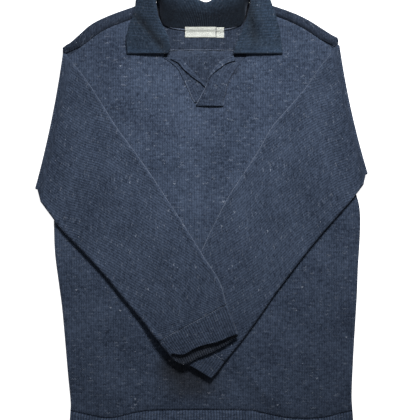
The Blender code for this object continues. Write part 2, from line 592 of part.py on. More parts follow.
def make_hem(finish):
    """The hem band: a flattened tube below the hem seam, ribbed on the face that shows."""
    parts = np.linspace(0, 1, HEM_RIBS * 2 + 1)
    seam = spaced(smooth_rows(HEM_SEAM, np.linspace(0, 1, 400)), parts)
    level = seam[:, 1].mean()
    radius = (FRONT_MID - HEM_CLOTH / 2) / 2
    middle = HEM_CLOTH / 2 + radius
    spread = 8.0
    turn = np.radians((55, 15, -25, -60))
    rings = []
    for depth in (0.0, 0.35, 1.0):
        line = seam.copy()
        line[:, 0] += (parts - 0.5) * spread * depth
        line[:, 1] += (level - line[:, 1]) * 0.5 * depth - 3 * GAP - depth * HEM_DEPTH
        inset = radius + HEM_CLOTH / 2
        ends = (line[0, 0] + inset, line[-1, 0] - inset)
        line[:, 0] = np.clip(line[:, 0], *ends)
        puff = 0.9 * math.sin(math.pi * min(1.0, 0.15 + depth))
        top = with_height(line, middle + radius + puff + front_rise(line[:, 0], line[:, 1]))
        left_arc = [np.append(line[-1] + (radius * math.cos(angle), 0), middle + radius * math.sin(angle))
                    for angle in turn]
        right_arc = [np.append(line[0] - (radius * math.cos(angle), 0), middle + radius * math.sin(angle))
                     for angle in turn[::-1]]
        bottom = with_height(line[::-8], HEM_CLOTH / 2)
        rings.append(np.concatenate([top, left_arc, bottom, right_arc]))
    grid = np.swapaxes(np.array(rings), 0, 1)
    relief = np.zeros(grid.shape[:2])
    relief[1:HEM_RIBS * 2:2] = -RIB_RELIEF
    return wall("hem_band", grid[::-1], HEM_CLOTH, finish, closed=True, relief=relief[::-1])


def collar_section(neck, roll, edge):
    """Points across the collar: up the stand, over the roll and out to the free edge."""
    outward = np.append(roll[:2] - edge[:2], 0) * -1
    outward = outward / max(np.linalg.norm(outward), 1e-6)
    tucked = 1 - smoothstep(np.array((abs(edge[0]) - 55) / 45)) if edge[1] > 340 else 0.0
    stand = neck + (roll - neck) * 0.55 - (0, 0, 0.8)
    crown = roll + outward * (3.2 - 3.2 * tucked) + (0, 0, 1.0 - 6.0 * tucked)
    leaf = roll + (edge - roll) * 0.5 + (0, 0, 1.2 - 4.0 * tucked)
    points = [tuple(point) for point in (neck, stand, roll, crown, leaf, edge)]
    section = smooth_rows(points, np.linspace(0, 1, 40))
    return spaced(section, np.array([0, 0.14, 0.27, 0.35, 0.43, 0.58, 0.79, 1.0]))


def make_collar(finish):
    """The collar: one ribbed strip sewn to the neck, standing and rolled over all the way round."""
    stations = smooth_rows(COLLAR, np.linspace(0, 1, 400))
    steps = np.linalg.norm(np.diff((stations[:, 3:6] + stations[:, 6:9]) / 2, axis=0), axis=1) + 0.35
    length = np.concatenate([[0], np.cumsum(steps)]) / steps.sum()
    places = np.interp(np.linspace(0, 1, COLLAR_RIBS * 2 + 1), length, np.linspace(0, 1, 400))
    mid = np.array([collar_section(row[0:3], row[3:6], row[6:9]) for row in smooth_rows(COLLAR, places)])
    relief = np.zeros(mid.shape[:2])
    relief[1::2] = -RIB_RELIEF
    return wall("collar", mid[:, ::-1], COLLAR_CLOTH, finish, relief=relief)


def make_band(name, rows, finish):
    """One band of the placket: from its seam to the fold, then turned out over itself."""
    places = smooth_rows(rows, np.linspace(0, 1, 2 * len(rows) - 1))
    run = np.gradient(places[:, 2:4], axis=0)
    lines = []
    for values, (run_x, run_y) in zip(places, run):
        seam, fold, turned = values[0:2], values[2:4], max(values[4], FOLD_BACK)
        seam_lift, lift = values[5:7]
        seam_end = seam + (fold - seam) * BAND_SEAM / np.linalg.norm(fold - seam)
        across = np.array([-run_y, run_x]) / math.hypot(run_x, run_y)
        if across @ (fold - seam) < 0:
            across = -across
        start = np.append(seam_end, FRONT_MID + seam_lift)
        bend = np.append(fold - across * (BAND_TURN + BAND / 2), FRONT_MID - 0.2 + lift)
        sweep = min(math.pi, turned / BAND_TURN)
        flat = spaced(np.array([start, bend]), np.linspace(0, 1, 6))
        flat[1:-1, 2] += max(lift - LAP, 0) * BAND_ARCH * np.array((0.7, 1.0, 0.8, 0.4))
        arc = []
        for angle in np.linspace(0, sweep, 5)[1:]:
            arc.append(bend + np.append(across * BAND_TURN * math.sin(angle),
                                        BAND_TURN * (1 - math.cos(angle))))
        rest = max(turned - math.pi * BAND_TURN, 0.6)
        direction = np.append(across * math.cos(sweep), math.sin(sweep))
        tail = [arc[-1] + direction * rest * part + (0, 0, 0.3 * part) for part in (0.5, 1.0)]
        lines.append(np.concatenate([flat, arc, tail]))
    mid = np.array(lines)
    if rows[0].fold_x > 0:
        mid = mid[::-1]
    return wall(name, mid, BAND, finish)


def make_label(name, x0, x1, drop, finish):
    """A woven label that lies on the yoke inside the neck, with its top edge over the collar's seam."""
    lines = []
    for x in np.linspace(x0, x1, 6):
        lines.append([(x, row.y - drop, CLOTH + GAP + LABEL / 2 + row.lift) for row in LABEL_RISE])
    return wall(name, np.array(lines), LABEL, finish)


def main():
    clear_scene()
    knit = material("knit", NAVY, 0.92)
    rib = material("rib", NAVY_RIB, 0.92)
    band = material("band", NAVY_BAND, 0.92)
    woven = material("label", OFF_WHITE, 0.7)
    make_back(knit)
    make_front(knit)
    make_yoke(knit)
    make_sleeve("sleeve_right", RIGHT_ARMHOLE, RIGHT_FOLD, RIGHT_FOLD_BOW, RIGHT_SLEEVE, -1, knit)
    make_sleeve("sleeve_left", LEFT_ARMHOLE, LEFT_FOLD, LEFT_FOLD_BOW, LEFT_SLEEVE, 1, knit)
    make_cuff("cuff_right", RIGHT_CUFF, -1, RIGHT_LIP, rib)
    make_cuff("cuff_left", LEFT_CUFF, 1, None, rib)
    make_hem(rib)
    make_collar(rib)
    make_band("placket_right", RIGHT_BAND, band)
    make_band("placket_left", LEFT_BAND, band)
    make_label("label", -29, 25, 0, woven)
    make_label("size_tab", 26, 39.5, 0.7, woven)


main()
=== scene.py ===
"""A knitted sweater with a johnny collar, laid flat with both sleeves folded over its front.

x runs towards the wearer's left, y towards the neck and z up from the surface that it lies on.
Tables are in millimetres from the middle of the garment, and meshes in metres. Run it as a script.
"""

import math
from collections import namedtuple

import bmesh
import bpy
import numpy as np
from bpy.props import FloatProperty, FloatVectorProperty, PointerProperty
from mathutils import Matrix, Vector


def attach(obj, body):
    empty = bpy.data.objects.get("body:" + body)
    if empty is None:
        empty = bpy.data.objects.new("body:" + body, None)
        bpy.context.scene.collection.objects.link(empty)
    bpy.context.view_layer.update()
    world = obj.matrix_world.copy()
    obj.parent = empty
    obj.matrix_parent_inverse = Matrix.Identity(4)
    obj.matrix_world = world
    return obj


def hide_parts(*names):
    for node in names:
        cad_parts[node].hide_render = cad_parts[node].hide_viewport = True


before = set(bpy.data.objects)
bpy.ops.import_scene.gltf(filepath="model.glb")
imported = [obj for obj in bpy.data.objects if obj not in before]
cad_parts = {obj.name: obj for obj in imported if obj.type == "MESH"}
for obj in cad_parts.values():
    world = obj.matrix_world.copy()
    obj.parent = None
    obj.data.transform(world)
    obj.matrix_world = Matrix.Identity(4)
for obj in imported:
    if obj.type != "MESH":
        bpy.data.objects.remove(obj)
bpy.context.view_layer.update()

bl_info = {
    "name": "Johnny collar sweater",
    "version": (1, 0, 0),
    "blender": (4, 5, 0),
    "location": "3D View > Sidebar > Sweater",
    "description": "Lays out a knitted sweater with a johnny collar, piece by piece",
    "category": "Object",
}

MM = 0.001
GAP = 0.3              # clearance between pieces that touch
FOLD_RADIUS = 2.8      # radius of a sleeve's middle where it folds over the side
SLEEVE_FLAT = 2.9      # distance between the middles of a flat sleeve's two walls
EDGE_PUFF = 1.5        # how far the cloth stands up along the edges of a folded sleeve
PUFF_PLACE = 4.5       # how far inside the edge it stands highest
PUFF_WIDTH = 3.6       # distance over which that fades
ARM_OVER_OUT = 0.3     # how far outside the armhole a sleeve starts, at its overarm edge
ARM_UNDER_OUT = 3.8    # the same at its underarm edge
SLEEVE_SEAT = 5.8      # height of the underside of a folded sleeve on the front
SHOULDER_ROLL = 2.9    # radius of the yoke's middle where it turns over the shoulder
BODY_KNIT = 2.4        # thickness of the body knit
SLEEVE_KNIT = 1.8      # thickness of the sleeve knit
FINE_RIB = 1.8         # thickness of the hem band
COLLAR_RIB = 1.9       # thickness of the collar
BAND_KNIT = 1.8        # thickness of the placket bands
HEM_DEPTH = 52.0       # depth of the hem band
FLARE_RISE = 3.0       # height over which the ends of the yoke reach out over the sleeve folds
FLARE_HOLD = 8.0       # height up to which they stay out
FLARE_FALL = 9.0       # height over which they come back
RIGHT_FLARE = 11.0     # how far the right end of the yoke reaches out over its sleeve's fold
LEFT_FLARE = 8.0       # how far the left end does
END_REACH = 1.5        # how far both ends reach out all along
YOKE_STATIONS = 50     # lines across each side of the yoke
LIP_DROOP = 2.2        # how far the lower wall of the upper cuff hangs past its last ring
HEM_TUCK = 0.8         # how far the hem band reaches under the front's edge
HEM_SPREAD = 8.0       # how much wider the hem band gets towards its bottom
HEM_PUFF = 0.9         # how far the hem band puffs up
HEM_DIP = 1.0          # how far it dips at its seam
SEAM_DIP = 1.5         # how far the cloth dips towards the seams of the front
SEAM_DIP_WIDTH = 4.5   # distance over which it does so
SIDE_DROP = 2.6        # how far the sides of the front come down to the back
SIDE_DROP_WIDTH = 2.1  # distance over which they do so
ARM_INSET = 1.55       # how far the front's armholes stay clear of the sleeves
INSET_WIDTH = 12.0     # distance over which that fades
BACK_INSET = 5.4       # how far the sides and armholes of the back lie inside those of the front
COLLAR_STAND = 47.0    # height of the collar's stand in the pattern of its ribs, up to the roll
MOUTH_SHADE = 0.42     # how much darker the lower wall of a cuff is, which shows in its mouth
LABEL_WEAVE = 0.8      # thickness of the labels
EDGE_ARC = 7           # points round each edge of a flattened tube
BACK_MID = BODY_KNIT / 2
FRONT_MID = BODY_KNIT + GAP + BODY_KNIT / 2

# The grid of one half of the front: columns from the side to the middle, and rows up the side, beside
# the cloth below the placket, beside the placket and beside the neck
FRONT_COLUMNS = 74
SIDE_ROWS = 84
LOW_ROWS = 22
SLIT_ROWS = 20
NECK_ROWS = 14
BASE_ROW = SIDE_ROWS + LOW_ROWS - 2
BASE_COLUMNS = 6       # columns between the halves, below the placket
LOW_ARM = 0.66         # share of the armhole up to the base of the placket
NEAR_SIDE = (0.003, 0.006, 0.010, 0.016, 0.024, 0.035)  # shares of the width with closer columns

# The lamp past the neck and the camera straight above, in metres, and the lens in millimetres
LAMP_SIZE = (0.40, 0.30)
LAMP_PLACE = (0.22, 1.00, 1.0)
LAMP_AIM = (0.0, 0.08, 0.0)
CAMERA_PLACE = (0.0149, 0.01225, 2.51)
CAMERA_LENS = 122.5


def table(columns, *rows):
    """Rows of numbers under named columns."""
    row_type = namedtuple("Row", columns)
    return [row_type(*row) for row in rows]


# Side seams, from the bottom of the hem to the underarm
RIGHT_SIDE = table("x y", (-230, -341), (-229, -324), (-234, -271), (-243, -169), (-249, -121),
                   (-256, -68), (-258, -26), (-258, 9), (-254, 42))
LEFT_SIDE = table("x y", (265, -341), (263, -312), (266, -241), (272, -140), (274, -89),
                  (277, -40), (278, 0), (274, 30), (262, 61))

# Armholes, from the underarm to the shoulder
RIGHT_ARMHOLE = table("x y", (-254, 42), (-244, 135), (-235, 222), (-230, 284))
LEFT_ARMHOLE = table("x y", (262, 61), (249, 144), (238, 231), (229, 296))

# Shoulder folds, from the armhole to the side of the neck
RIGHT_SHOULDER = table("x y", (-231.5, 303), (-224, 310), (-195, 336.5), (-165, 352), (-130, 365),
                       (-108, 372), (-80, 380))
LEFT_SHOULDER = table("x y", (230.5, 316), (222, 323), (188, 345), (156, 360), (113, 374), (85, 380))

# Front edges of the yoke, from the armhole to the neck
RIGHT_FRONT_SEAM = table("x y", (-230, 284), (-211, 298), (-171, 327), (-125, 346), (-85, 361))
LEFT_FRONT_SEAM = table("x y", (229, 296), (211, 309), (174, 333), (132, 351), (90, 361))

# Seam between the back and the yoke, and the seam above the hem band
BACK_SEAM = table("x y", (-230, 268), (-160, 280), (-53, 292), (53, 292), (155, 284), (230, 273))
HEM_SEAM = table("x y", (-230, -341), (-195, -349), (-160, -354), (-108, -343), (-55, -340),
                 (76, -340), (106, -345), (155, -354), (207, -354), (242, -346), (265, -341))

# Neckline of the front, from the yoke down to the top of the placket
RIGHT_NECK = table("x y", (-87, 361), (-84, 350), (-73, 329), (-63, 310), (-60, 296), (-68, 283))
LEFT_NECK = table("x y", (91, 361), (88, 350), (78, 329), (68, 310), (65, 296), (81, 283))

# Neckline of the yoke, from the wearer's right to the left
BACK_NECK = table("x y", (-74.5, 377), (-70.5, 365), (-68.5, 351), (-61, 339), (-49, 334), (-27, 331),
                  (4, 330), (32, 331), (52, 334), (65, 339), (72.5, 351), (75, 365), (79, 377))

# Bands of the placket from the collar down: seam to the front, fold, width turned out, and how far
# the seam and the fold lie above the middle of the front
RIGHT_BAND = table("seam_x seam_y fold_x fold_y turned seam_lift lift",
                   (-67, 280, -52, 283, 9, 0, 0), (-53, 271, -35, 277, 12, 0, 0),
                   (-41, 260, -24, 265, 12, 0, 0), (-32, 243, -11, 251, 10, 0, 0),
                   (-23, 224, 4, 234, 5, 0, 0), (-17, 210, 15, 217, 1, 0, 0),
                   (-12, 201, 22, 202, 1, 0, 0))
LEFT_BAND = table("seam_x seam_y fold_x fold_y turned seam_lift lift",
                  (80, 280, 56, 283, 12, 0.1, 0.3), (64, 266, 39, 276, 11, 0.2, 0.5),
                  (52, 249, 25, 263, 9, 0.2, 1.2), (45, 233, 14, 247, 4, 0.3, 3.7),
                  (40, 214, 6, 226, 1, 0.5, 4.2), (37, 203, -4, 207, 1, 1.4, 3.6),
                  (37, 194.5, -10, 196, 1, 2.5, 3.4))
PLACKET_BASE = table("x y", (-12.5, 199), (12, 198), (37.5, 198))
BAND_SEAM = -1.4       # clearance along the seams of the placket bands
BAND_TURN = 1.6        # radius of a placket band's middle at its fold
FOLD_BACK = 1.4        # least width that a band is folded back over itself
BAND_ARCH = 1.6        # rise of the middle of a lapped band for each millimetre that it lies over LAP
LAP = 2.4              # height over the front at which a band clears the one below it

# Sleeve rings after the fold: the overarm and underarm edges, how high each lies and how thick it is
RIGHT_SLEEVE = table("over_x over_y under_x under_y over_lift under_lift hold thick",
                     (-225, 270, -281, 26, 0, 0, 0, 5.4), (-204, 244, -267, 7, 0, 0, 0, 5.7),
                     (-178, 205, -248, -18, 0, 0, 0, 6.0), (-148, 157, -223, -45, 0, 0, 0, 6.4),
                     (-118, 117, -195, -74, 0, 0, 0, 6.6), (-83, 67, -167, -105, 0.8, 0, 0, 6.8),
                     (-52, 20, -143, -135, 3.4, 0, 0, 6.8), (-22, -26, -122, -160, 7.2, 1.2, 0.1, 6.8),
                     (4, -68, -102, -183, 9.6, 3.2, 0.45, 6.8), (32, -112, -87, -203, 10.2, 7.0, 0.8, 7.0),
                     (44, -152, -75, -216, 11.2, 10.2, 0.9, 7.2))
LEFT_SLEEVE = table("over_x over_y under_x under_y over_lift under_lift hold thick",
                    (226, 286, 283, 56, 0, 0, 0, 5.4), (207, 263, 270, 39, 0, 0, 0, 5.7),
                    (183, 228, 253, 19, 0, 0, 0, 6.0), (153, 193, 232, -5, 0, 0, 0, 6.4),
                    (123, 158, 207, -34, 0, 0, 0, 6.6), (99, 116, 181, -66, 0, 0, 0, 6.8),
                    (73, 76, 155, -100, 0, 0, 0, 6.8), (48, 38, 130, -133, 0, 0, 0, 6.8),
                    (20, -16, 106, -168, 0, 0, 0, 6.6), (-4, -66, 83, -200, 0, 0, 0, 6.6),
                    (-27, -110, 64, -225, 0.2, 0.2, 0, 6.6), (-45, -150, 50, -242, 0.8, 0.8, 0, 6.6),
                    (-54, -184, 41, -252, 1.6, 1.6, 0, 6.6))
# The folds of the sleeves over the sides of the body, from the shoulder to the bottom, and their bow
RIGHT_FOLD = table("x y", (-243, 287), (-292, 49))
LEFT_FOLD = table("x y", (242, 302), (292, 75))
RIGHT_FOLD_BOW = 4.0
LEFT_FOLD_BOW = 4.5

# Cuff rings from the sleeve to the open end, as the sleeve's; wave lifts the middle of the end
RIGHT_CUFF = table("over_x over_y under_x under_y over_lift under_lift hold thick wave",
                   (44.3, -152.4, -74.8, -216.4, 11.2, 10.2, 0.9, 7.2, 0),
                   (52, -173, -68, -226, 12.0, 11.2, 0.8, 7.3, 0.3),
                   (58, -189, -61, -233, 12.4, 11.6, 0.6, 7.4, 0.7),
                   (64, -203, -55, -240, 12.6, 11.8, 0.5, 7.6, 1.1))
LEFT_CUFF = table("over_x over_y under_x under_y over_lift under_lift hold thick wave",
                  (-54.2, -184.4, 40.8, -252.4, 1.6, 1.6, 0, 6.6, 0),
                  (-62, -200, 34, -263, 2.2, 2.0, 0, 6.8, 0), (-69, -213, 26, -273, 2.4, 2.2, 0, 7.0, 0),
                  (-75, -226, 18, -282, 2.6, 2.4, 0, 7.2, 0))

# How far the walls of the upper cuff reach past its last ring, from the overarm to the underarm edge
RIGHT_LIP = table("part top bottom", (0, 0, 4), (0.15, 1, 10), (0.3, 3, 15), (0.5, 1, 19), (0.64, 2, 20),
                  (0.71, 4, 22), (0.78, 6, 23.5), (0.86, 5, 23.5), (0.94, 0, 15), (1, -3, 5))

# Collar from the wearer's right front round the back to the left front: where it is sewn to the
# neck, where it rolls over and where its free edge lies
COLLAR = table("neck_x neck_y neck_z roll_x roll_y roll_z edge_x edge_y edge_z",
               (-59, 286, 7.0, -60, 286, 11.0, -130, 286, 7.6),
               (-60, 296, 7.0, -55, 297, 13.0, -131, 298, 7.6),
               (-63, 310, 7.0, -58, 312, 15.0, -132, 311, 8.0),
               (-70, 329, 7.4, -66, 329, 18.0, -128, 329, 9.0),
               (-77, 350, 9.8, -75, 347, 22.0, -121, 348, 11.5),
               (-80, 366, 10.9, -79, 366, 25.0, -116, 366, 13.0),
               (-81, 380, 10.9, -81, 384, 27.0, -114, 383, 13.0),
               (-78, 377, 7.2, -77.5, 390, 27.5, -110, 391, 11.6),
               (-73, 366, 4.4, -71, 392, 27.0, -105, 397, 9.5),
               (-71.5, 351, 4.0, -63, 393, 25.0, -92, 401, 4.0),
               (-66, 337, 3.8, -52, 391, 21.0, -73, 392, 2.0),
               (-52, 332, 3.8, -36, 387, 18.0, -48, 375, 1.6),
               (-27, 330, 3.8, -13, 380, 15.0, -22, 358, 1.5),
               (4, 329, 3.8, 8, 373, 14.0, 5, 350, 1.5),
               (32, 330, 3.8, 25, 380, 15.0, 32, 358, 1.5),
               (55, 332, 3.8, 43, 387, 18.0, 57, 375, 1.6),
               (69, 337, 3.8, 59, 391, 21.0, 78, 392, 2.0),
               (75.5, 351, 4.0, 70, 393, 25.0, 94, 401, 4.0),
               (78, 366, 4.4, 79, 392, 27.0, 107, 397, 9.5),
               (83.5, 377, 7.4, 85, 390, 27.5, 114, 391, 11.6),
               (86, 380, 11.2, 88, 384, 27.0, 119, 383, 13.0),
               (84, 366, 11.4, 85, 366, 25.0, 125, 366, 13.0),
               (82, 350, 9.8, 80, 348, 22.0, 131, 349, 11.5),
               (75, 329, 7.4, 74, 331, 18.0, 136, 331, 9.0),
               (68, 310, 7.0, 67, 315, 15.0, 139, 312, 8.0),
               (63, 296, 7.0, 60, 298, 13.0, 141, 298, 7.6),
               (60, 286, 7.0, 57, 286, 11.0, 142, 286, 7.6))

# The label's height over the yoke, from its bottom to its top edge, which lies on the collar's seam
LABEL_RISE = table("y lift", (315, 0), (324, 0), (328.4, 2.4), (333, 3.3))

# Soft folds that lift the front and all that lies on it: the crest's ends, half width and height
FRONT_FOLDS = table("x0 y0 x1 y1 width height",
                    (112, -290, 150, -330, 17, 2.6), (-60, -300, -95, -215, 26, 1.6),
                    (90, 250, 150, 200, 24, 1.2), (-150, 250, -95, 190, 26, 1.2),
                    (190, -230, 205, -90, 24, 1.4), (-200, -250, -185, -120, 24, 1.4))

# Creases of single pieces, as the soft folds; a trough has a height below zero
FRONT_CREASES = table("x0 y0 x1 y1 width height",
                      (63, -253, 110, -310, 9, 2.8), (-40, 262, 5, 214, 9, -0.7),
                      (60, 255, 30, 222, 10, -1.6), (-130, 262, -60, 268, 9, -0.5),
                      (-190, 230, -150, 150, 16, 0.8), (205, 240, 160, 170, 15, 0.8),
                      (-225, -320, -215, -240, 12, 0.7), (246, -325, 232, -240, 12, 0.8),
                      (-30, -305, 40, -320, 16, 0.8), (150, -150, 175, -40, 20, 0.7))
RIGHT_SLEEVE_CREASES = table("x0 y0 x1 y1 width height",
                             (-106, 19, -71, 38, 5, 0.5), (-230, 180, -190, 110, 15, 0.8),
                             (-250, 60, -200, 20, 14, -0.6), (-150, 60, -110, -20, 17, 0.8),
                             (-110, -60, -70, -110, 14, -0.6), (-40, -60, -30, -130, 13, 0.9),
                             (-67, -119, -52, -189, 6, -1.1), (-46, -128, -32, -206, 7, 1.0),
                             (-205, 60, -160, 30, 12, 0.6), (-60, -190, -20, -160, 8, 0.7))
LEFT_SLEEVE_CREASES = table("x0 y0 x1 y1 width height",
                            (205.6, 296, 209, 266, 6, -1.0), (215, 200, 180, 140, 16, 0.9),
                            (255, 90, 225, 30, 13, -0.6), (160, 90, 130, 20, 16, 0.8),
                            (120, 10, 100, -60, 13, -0.6), (70, -60, 50, -130, 14, 0.8),
                            (225, 250, 240, 200, 10, 0.7))
COLLAR_CREASES = table("x0 y0 x1 y1 width height",
                       (-104, 343, -80, 305, 6, -1.6), (-122, 300, -90, 296, 7, 1.0),
                       (92, 332, 103, 312, 8, -1.6), (128, 345, 122, 310, 8, 1.0),
                       (-95, 386, -104, 372, 5, -1.0), (98, 388, 108, 370, 5, -1.0),
                       (-124, 345, -122, 375, 6, 0.9), (80, 300, 120, 292, 6, 0.8))

# Painted shadows on the front: soft dark spots below the cuffs and beside the placket
FRONT_PAINTED_SHADOWS = table("x y half_x half_y depth",
                    (-20, -286, 44, 31, 0.50), (-52, -262, 24, 22, 0.40), (45, 257, 20, 9, 0.30))

# Painted light and shade on the leaves of the collar, in bands laid as the creases; height is how much
# lighter
COLLAR_PAINTED_SHADE = table("x0 y0 x1 y1 width height",
                      (-112, 350, -72, 304, 7, -0.38), (-126, 292, -80, 289, 5, 0.22),
                      (-74, 352, -66, 326, 5, 0.12), (84, 362, 92, 318, 8, -0.34),
                      (80, 290, 134, 292, 5, 0.18), (112, 360, 124, 322, 9, 0.12))


class SweaterSizes(bpy.types.PropertyGroup):
    """Sizes of the knit."""
    wale: FloatProperty(name="Wale", description="Width of one column of the plain knit",
                        default=0.0043, unit="LENGTH")
    course: FloatProperty(name="Course", description="Height of one row of the plain knit",
                          default=0.0031, unit="LENGTH")
    collar_rib: FloatProperty(name="Collar rib", description="Width of one rib of the collar",
                              default=0.0038, unit="LENGTH")
    hem_rib: FloatProperty(name="Hem rib", description="Width of one rib of the hem band",
                           default=0.0050, unit="LENGTH")
    cuff_rib: FloatProperty(name="Cuff rib", description="Width of one rib of the cuffs",
                            default=0.0044, unit="LENGTH")
    collar_relief: FloatProperty(name="Collar relief", description="Height of a rib of the collar",
                                 default=0.0012, unit="LENGTH")
    rib_relief: FloatProperty(name="Rib relief", description="Height of a rib over its grooves",
                              default=0.0006, unit="LENGTH")


class SweaterColours(bpy.types.PropertyGroup):
    """Colours of the yarns and of the label."""
    navy: FloatVectorProperty(name="Navy", description="The dark yarn of the melange",
                              default=(0.0140, 0.0215, 0.0390), subtype="COLOR", size=3)
    slate: FloatVectorProperty(name="Slate", description="The lighter yarn of the melange",
                               default=(0.0690, 0.0940, 0.1480), subtype="COLOR", size=3)
    fleck: FloatVectorProperty(name="Fleck", description="The pale fibres in the yarn",
                               default=(0.22, 0.25, 0.31), subtype="COLOR", size=3)
    woven: FloatVectorProperty(name="Label", description="The woven label",
                               default=(0.72, 0.745, 0.69), subtype="COLOR", size=3)


class StageSettings(bpy.types.PropertyGroup):
    """Light and floor."""
    lamp: FloatProperty(name="Lamp", description="Strength of the soft lamp above the neck",
                        default=3.3, subtype="POWER")
    beam: FloatProperty(name="Beam", description="Width of the lamp's beam, in degrees", default=56.0)
    fill: FloatProperty(name="Fill", description="Strength of the even light all round",
                        default=0.17)
    glow: FloatProperty(name="Glow", description="How far the floor is lit from below",
                        default=0.9)
    floor: FloatVectorProperty(name="Floor", description="The pale floor",
                               default=(0.88, 0.88, 0.88), subtype="COLOR", size=3)


# Curves and rings

def smoothstep(value):
    """0 up to 0, 1 from 1, smooth between."""
    value = np.clip(value, 0.0, 1.0)
    return value * value * (3 - 2 * value)


def smooth_rows(rows, parameter):
    """Read the rows of a table on a smooth curve through them, at parameters from 0 to 1."""
    values = np.array([tuple(row) for row in rows], dtype=float)
    last = len(values) - 1
    place = np.clip(np.asarray(parameter, dtype=float), 0, 1) * last
    index = np.minimum(place.astype(int), last - 1)
    part = (place - index)[:, None]
    before = values[np.maximum(index - 1, 0)]
    start = values[index]
    end = values[index + 1]
    after = values[np.minimum(index + 2, last)]
    before = np.where((index == 0)[:, None], 2 * start - end, before)
    after = np.where((index == last - 1)[:, None], 2 * end - start, after)
    return 0.5 * (2 * start + (end - before) * part + (2 * before - 5 * start + 4 * end - after) * part ** 2
                  + (3 * start - before - 3 * end + after) * part ** 3)


def run_length(points):
    """Distance along a polyline at each of its points."""
    steps = np.linalg.norm(np.diff(points, axis=0), axis=1)
    return np.concatenate([[0], np.cumsum(steps)])


def spaced(points, fractions):
    """Points of a polyline at fractions of its length."""
    length = run_length(points)
    wanted = np.asarray(fractions) * length[-1]
    return np.stack([np.interp(wanted, length, points[:, axis]) for axis in range(points.shape[1])], axis=1)


def even_curve(rows, count):
    """Points at even distances along the smooth curve through the rows."""
    dense = smooth_rows(rows, np.linspace(0, 1, 40 * len(rows)))
    return spaced(dense, np.linspace(0, 1, count))


def lift_of(creases, x, y):
    """How far soft folds or creases lift the cloth, in millimetres."""
    rise = np.zeros_like(np.asarray(x, dtype=float))
    for fold in creases:
        along = np.array([fold.x1 - fold.x0, fold.y1 - fold.y0], dtype=float)
        length = np.linalg.norm(along)
        along /= length
        run = (x - fold.x0) * along[0] + (y - fold.y0) * along[1]
        aside = (x - fold.x0) * along[1] - (y - fold.y0) * along[0]
        past = np.maximum(np.maximum(-run, run - length), 0) / (2 * fold.width)
        rise = rise + fold.height * np.exp(-(aside / fold.width) ** 2 - past ** 2)
    return rise


def coons(bottom, top, left, right):
    """A grid of points between four edge curves, indexed along the bottom and then up the side."""
    across = np.linspace(0, 1, len(bottom))[:, None, None]
    up = np.linspace(0, 1, len(left))[None, :, None]
    ruled_up = (1 - up) * bottom[:, None, :] + up * top[:, None, :]
    ruled_across = (1 - across) * left[None, :, :] + across * right[None, :, :]
    corners = ((1 - across) * (1 - up) * bottom[0] + across * (1 - up) * bottom[-1]
               + (1 - across) * up * top[0] + across * up * top[-1])
    return ruled_up + ruled_across - corners


def grid_normals(grid, closed=False):
    """Unit normals of a grid of points; closed says whether its first direction is a loop."""
    if closed:
        along = np.roll(grid, -1, axis=0) - np.roll(grid, 1, axis=0)
    else:
        along = np.gradient(grid, axis=0)
    across = np.gradient(grid, axis=1)
    normal = np.cross(along, across)
    return normal / np.maximum(np.linalg.norm(normal, axis=2, keepdims=True), 1e-9)


def flat_ring(over, under, low, thick, columns, wall, hold=0.0, wave=0.0):
    """One ring of a flattened tube between its overarm and underarm edges, on its walls' middles."""
    radius = (thick - wall) / 2
    chord = under - over
    chord = chord / np.linalg.norm(chord)
    start = over + chord * thick / 2
    end = under - chord * thick / 2
    parts = np.linspace(0, 1, columns)
    centre = np.zeros((columns, 3))
    centre[:, :2] = start + (end - start) * parts[:, None]
    centre[:, 2] = (low[0] + (low[1] - low[0]) * smoothstep((parts - hold) / (1 - hold))
                    + thick / 2 + wave * np.sin(math.pi * parts) ** 2)
    turn = np.radians(90 - np.linspace(0, 180, EDGE_ARC + 2)[1:-1])
    ahead = np.append(chord, 0)
    out_end = np.outer(np.cos(turn), ahead * radius) + np.outer(np.sin(turn), (0, 0, radius))
    return np.concatenate([centre + (0, 0, radius), centre[-1] + out_end,
                           centre[::-1] - (0, 0, radius), centre[0] - out_end])


def turned_over(ring, columns):
    """The same ring with its upper and lower walls changed over, as after the fold."""
    top, end, bottom, start = np.split(ring, [columns, columns + EDGE_ARC, 2 * columns + EDGE_ARC])
    return np.concatenate([bottom[::-1], end[::-1], top[::-1], start[::-1]])


def fold_rings(fold, bow, outward, columns, count):
    """Rings that carry a flat sleeve round the fold at the side of the body."""
    over, under = [np.array(row, dtype=float) for row in fold]
    length = np.linalg.norm(under - over)
    chord = (under - over) / length
    away = np.array([-chord[1], chord[0]])
    if away[0] * outward < 0:
        away = -away
    half = (SLEEVE_FLAT + SLEEVE_KNIT) / 2
    centre_height = SLEEVE_SEAT - FOLD_RADIUS + half
    inset = away * (FOLD_RADIUS + half)
    flat = flat_ring(over - inset, under - inset, (0, 0), 2 * half, columns, SLEEVE_KNIT)
    spread = np.clip(((flat[:, :2] - over) @ chord) / length, 0, 1)
    bend = bow * 4 * spread * (1 - spread)
    radius = FOLD_RADIUS + half - flat[:, 2]
    rings = []
    for angle in np.linspace(0, math.pi, count):
        ring = flat.copy()
        ring[:, :2] += np.outer(radius * math.sin(angle) - bend, away)
        ring[:, 2] = centre_height - radius * math.cos(angle)
        rings.append(ring)
    return rings


# Making a piece of cloth

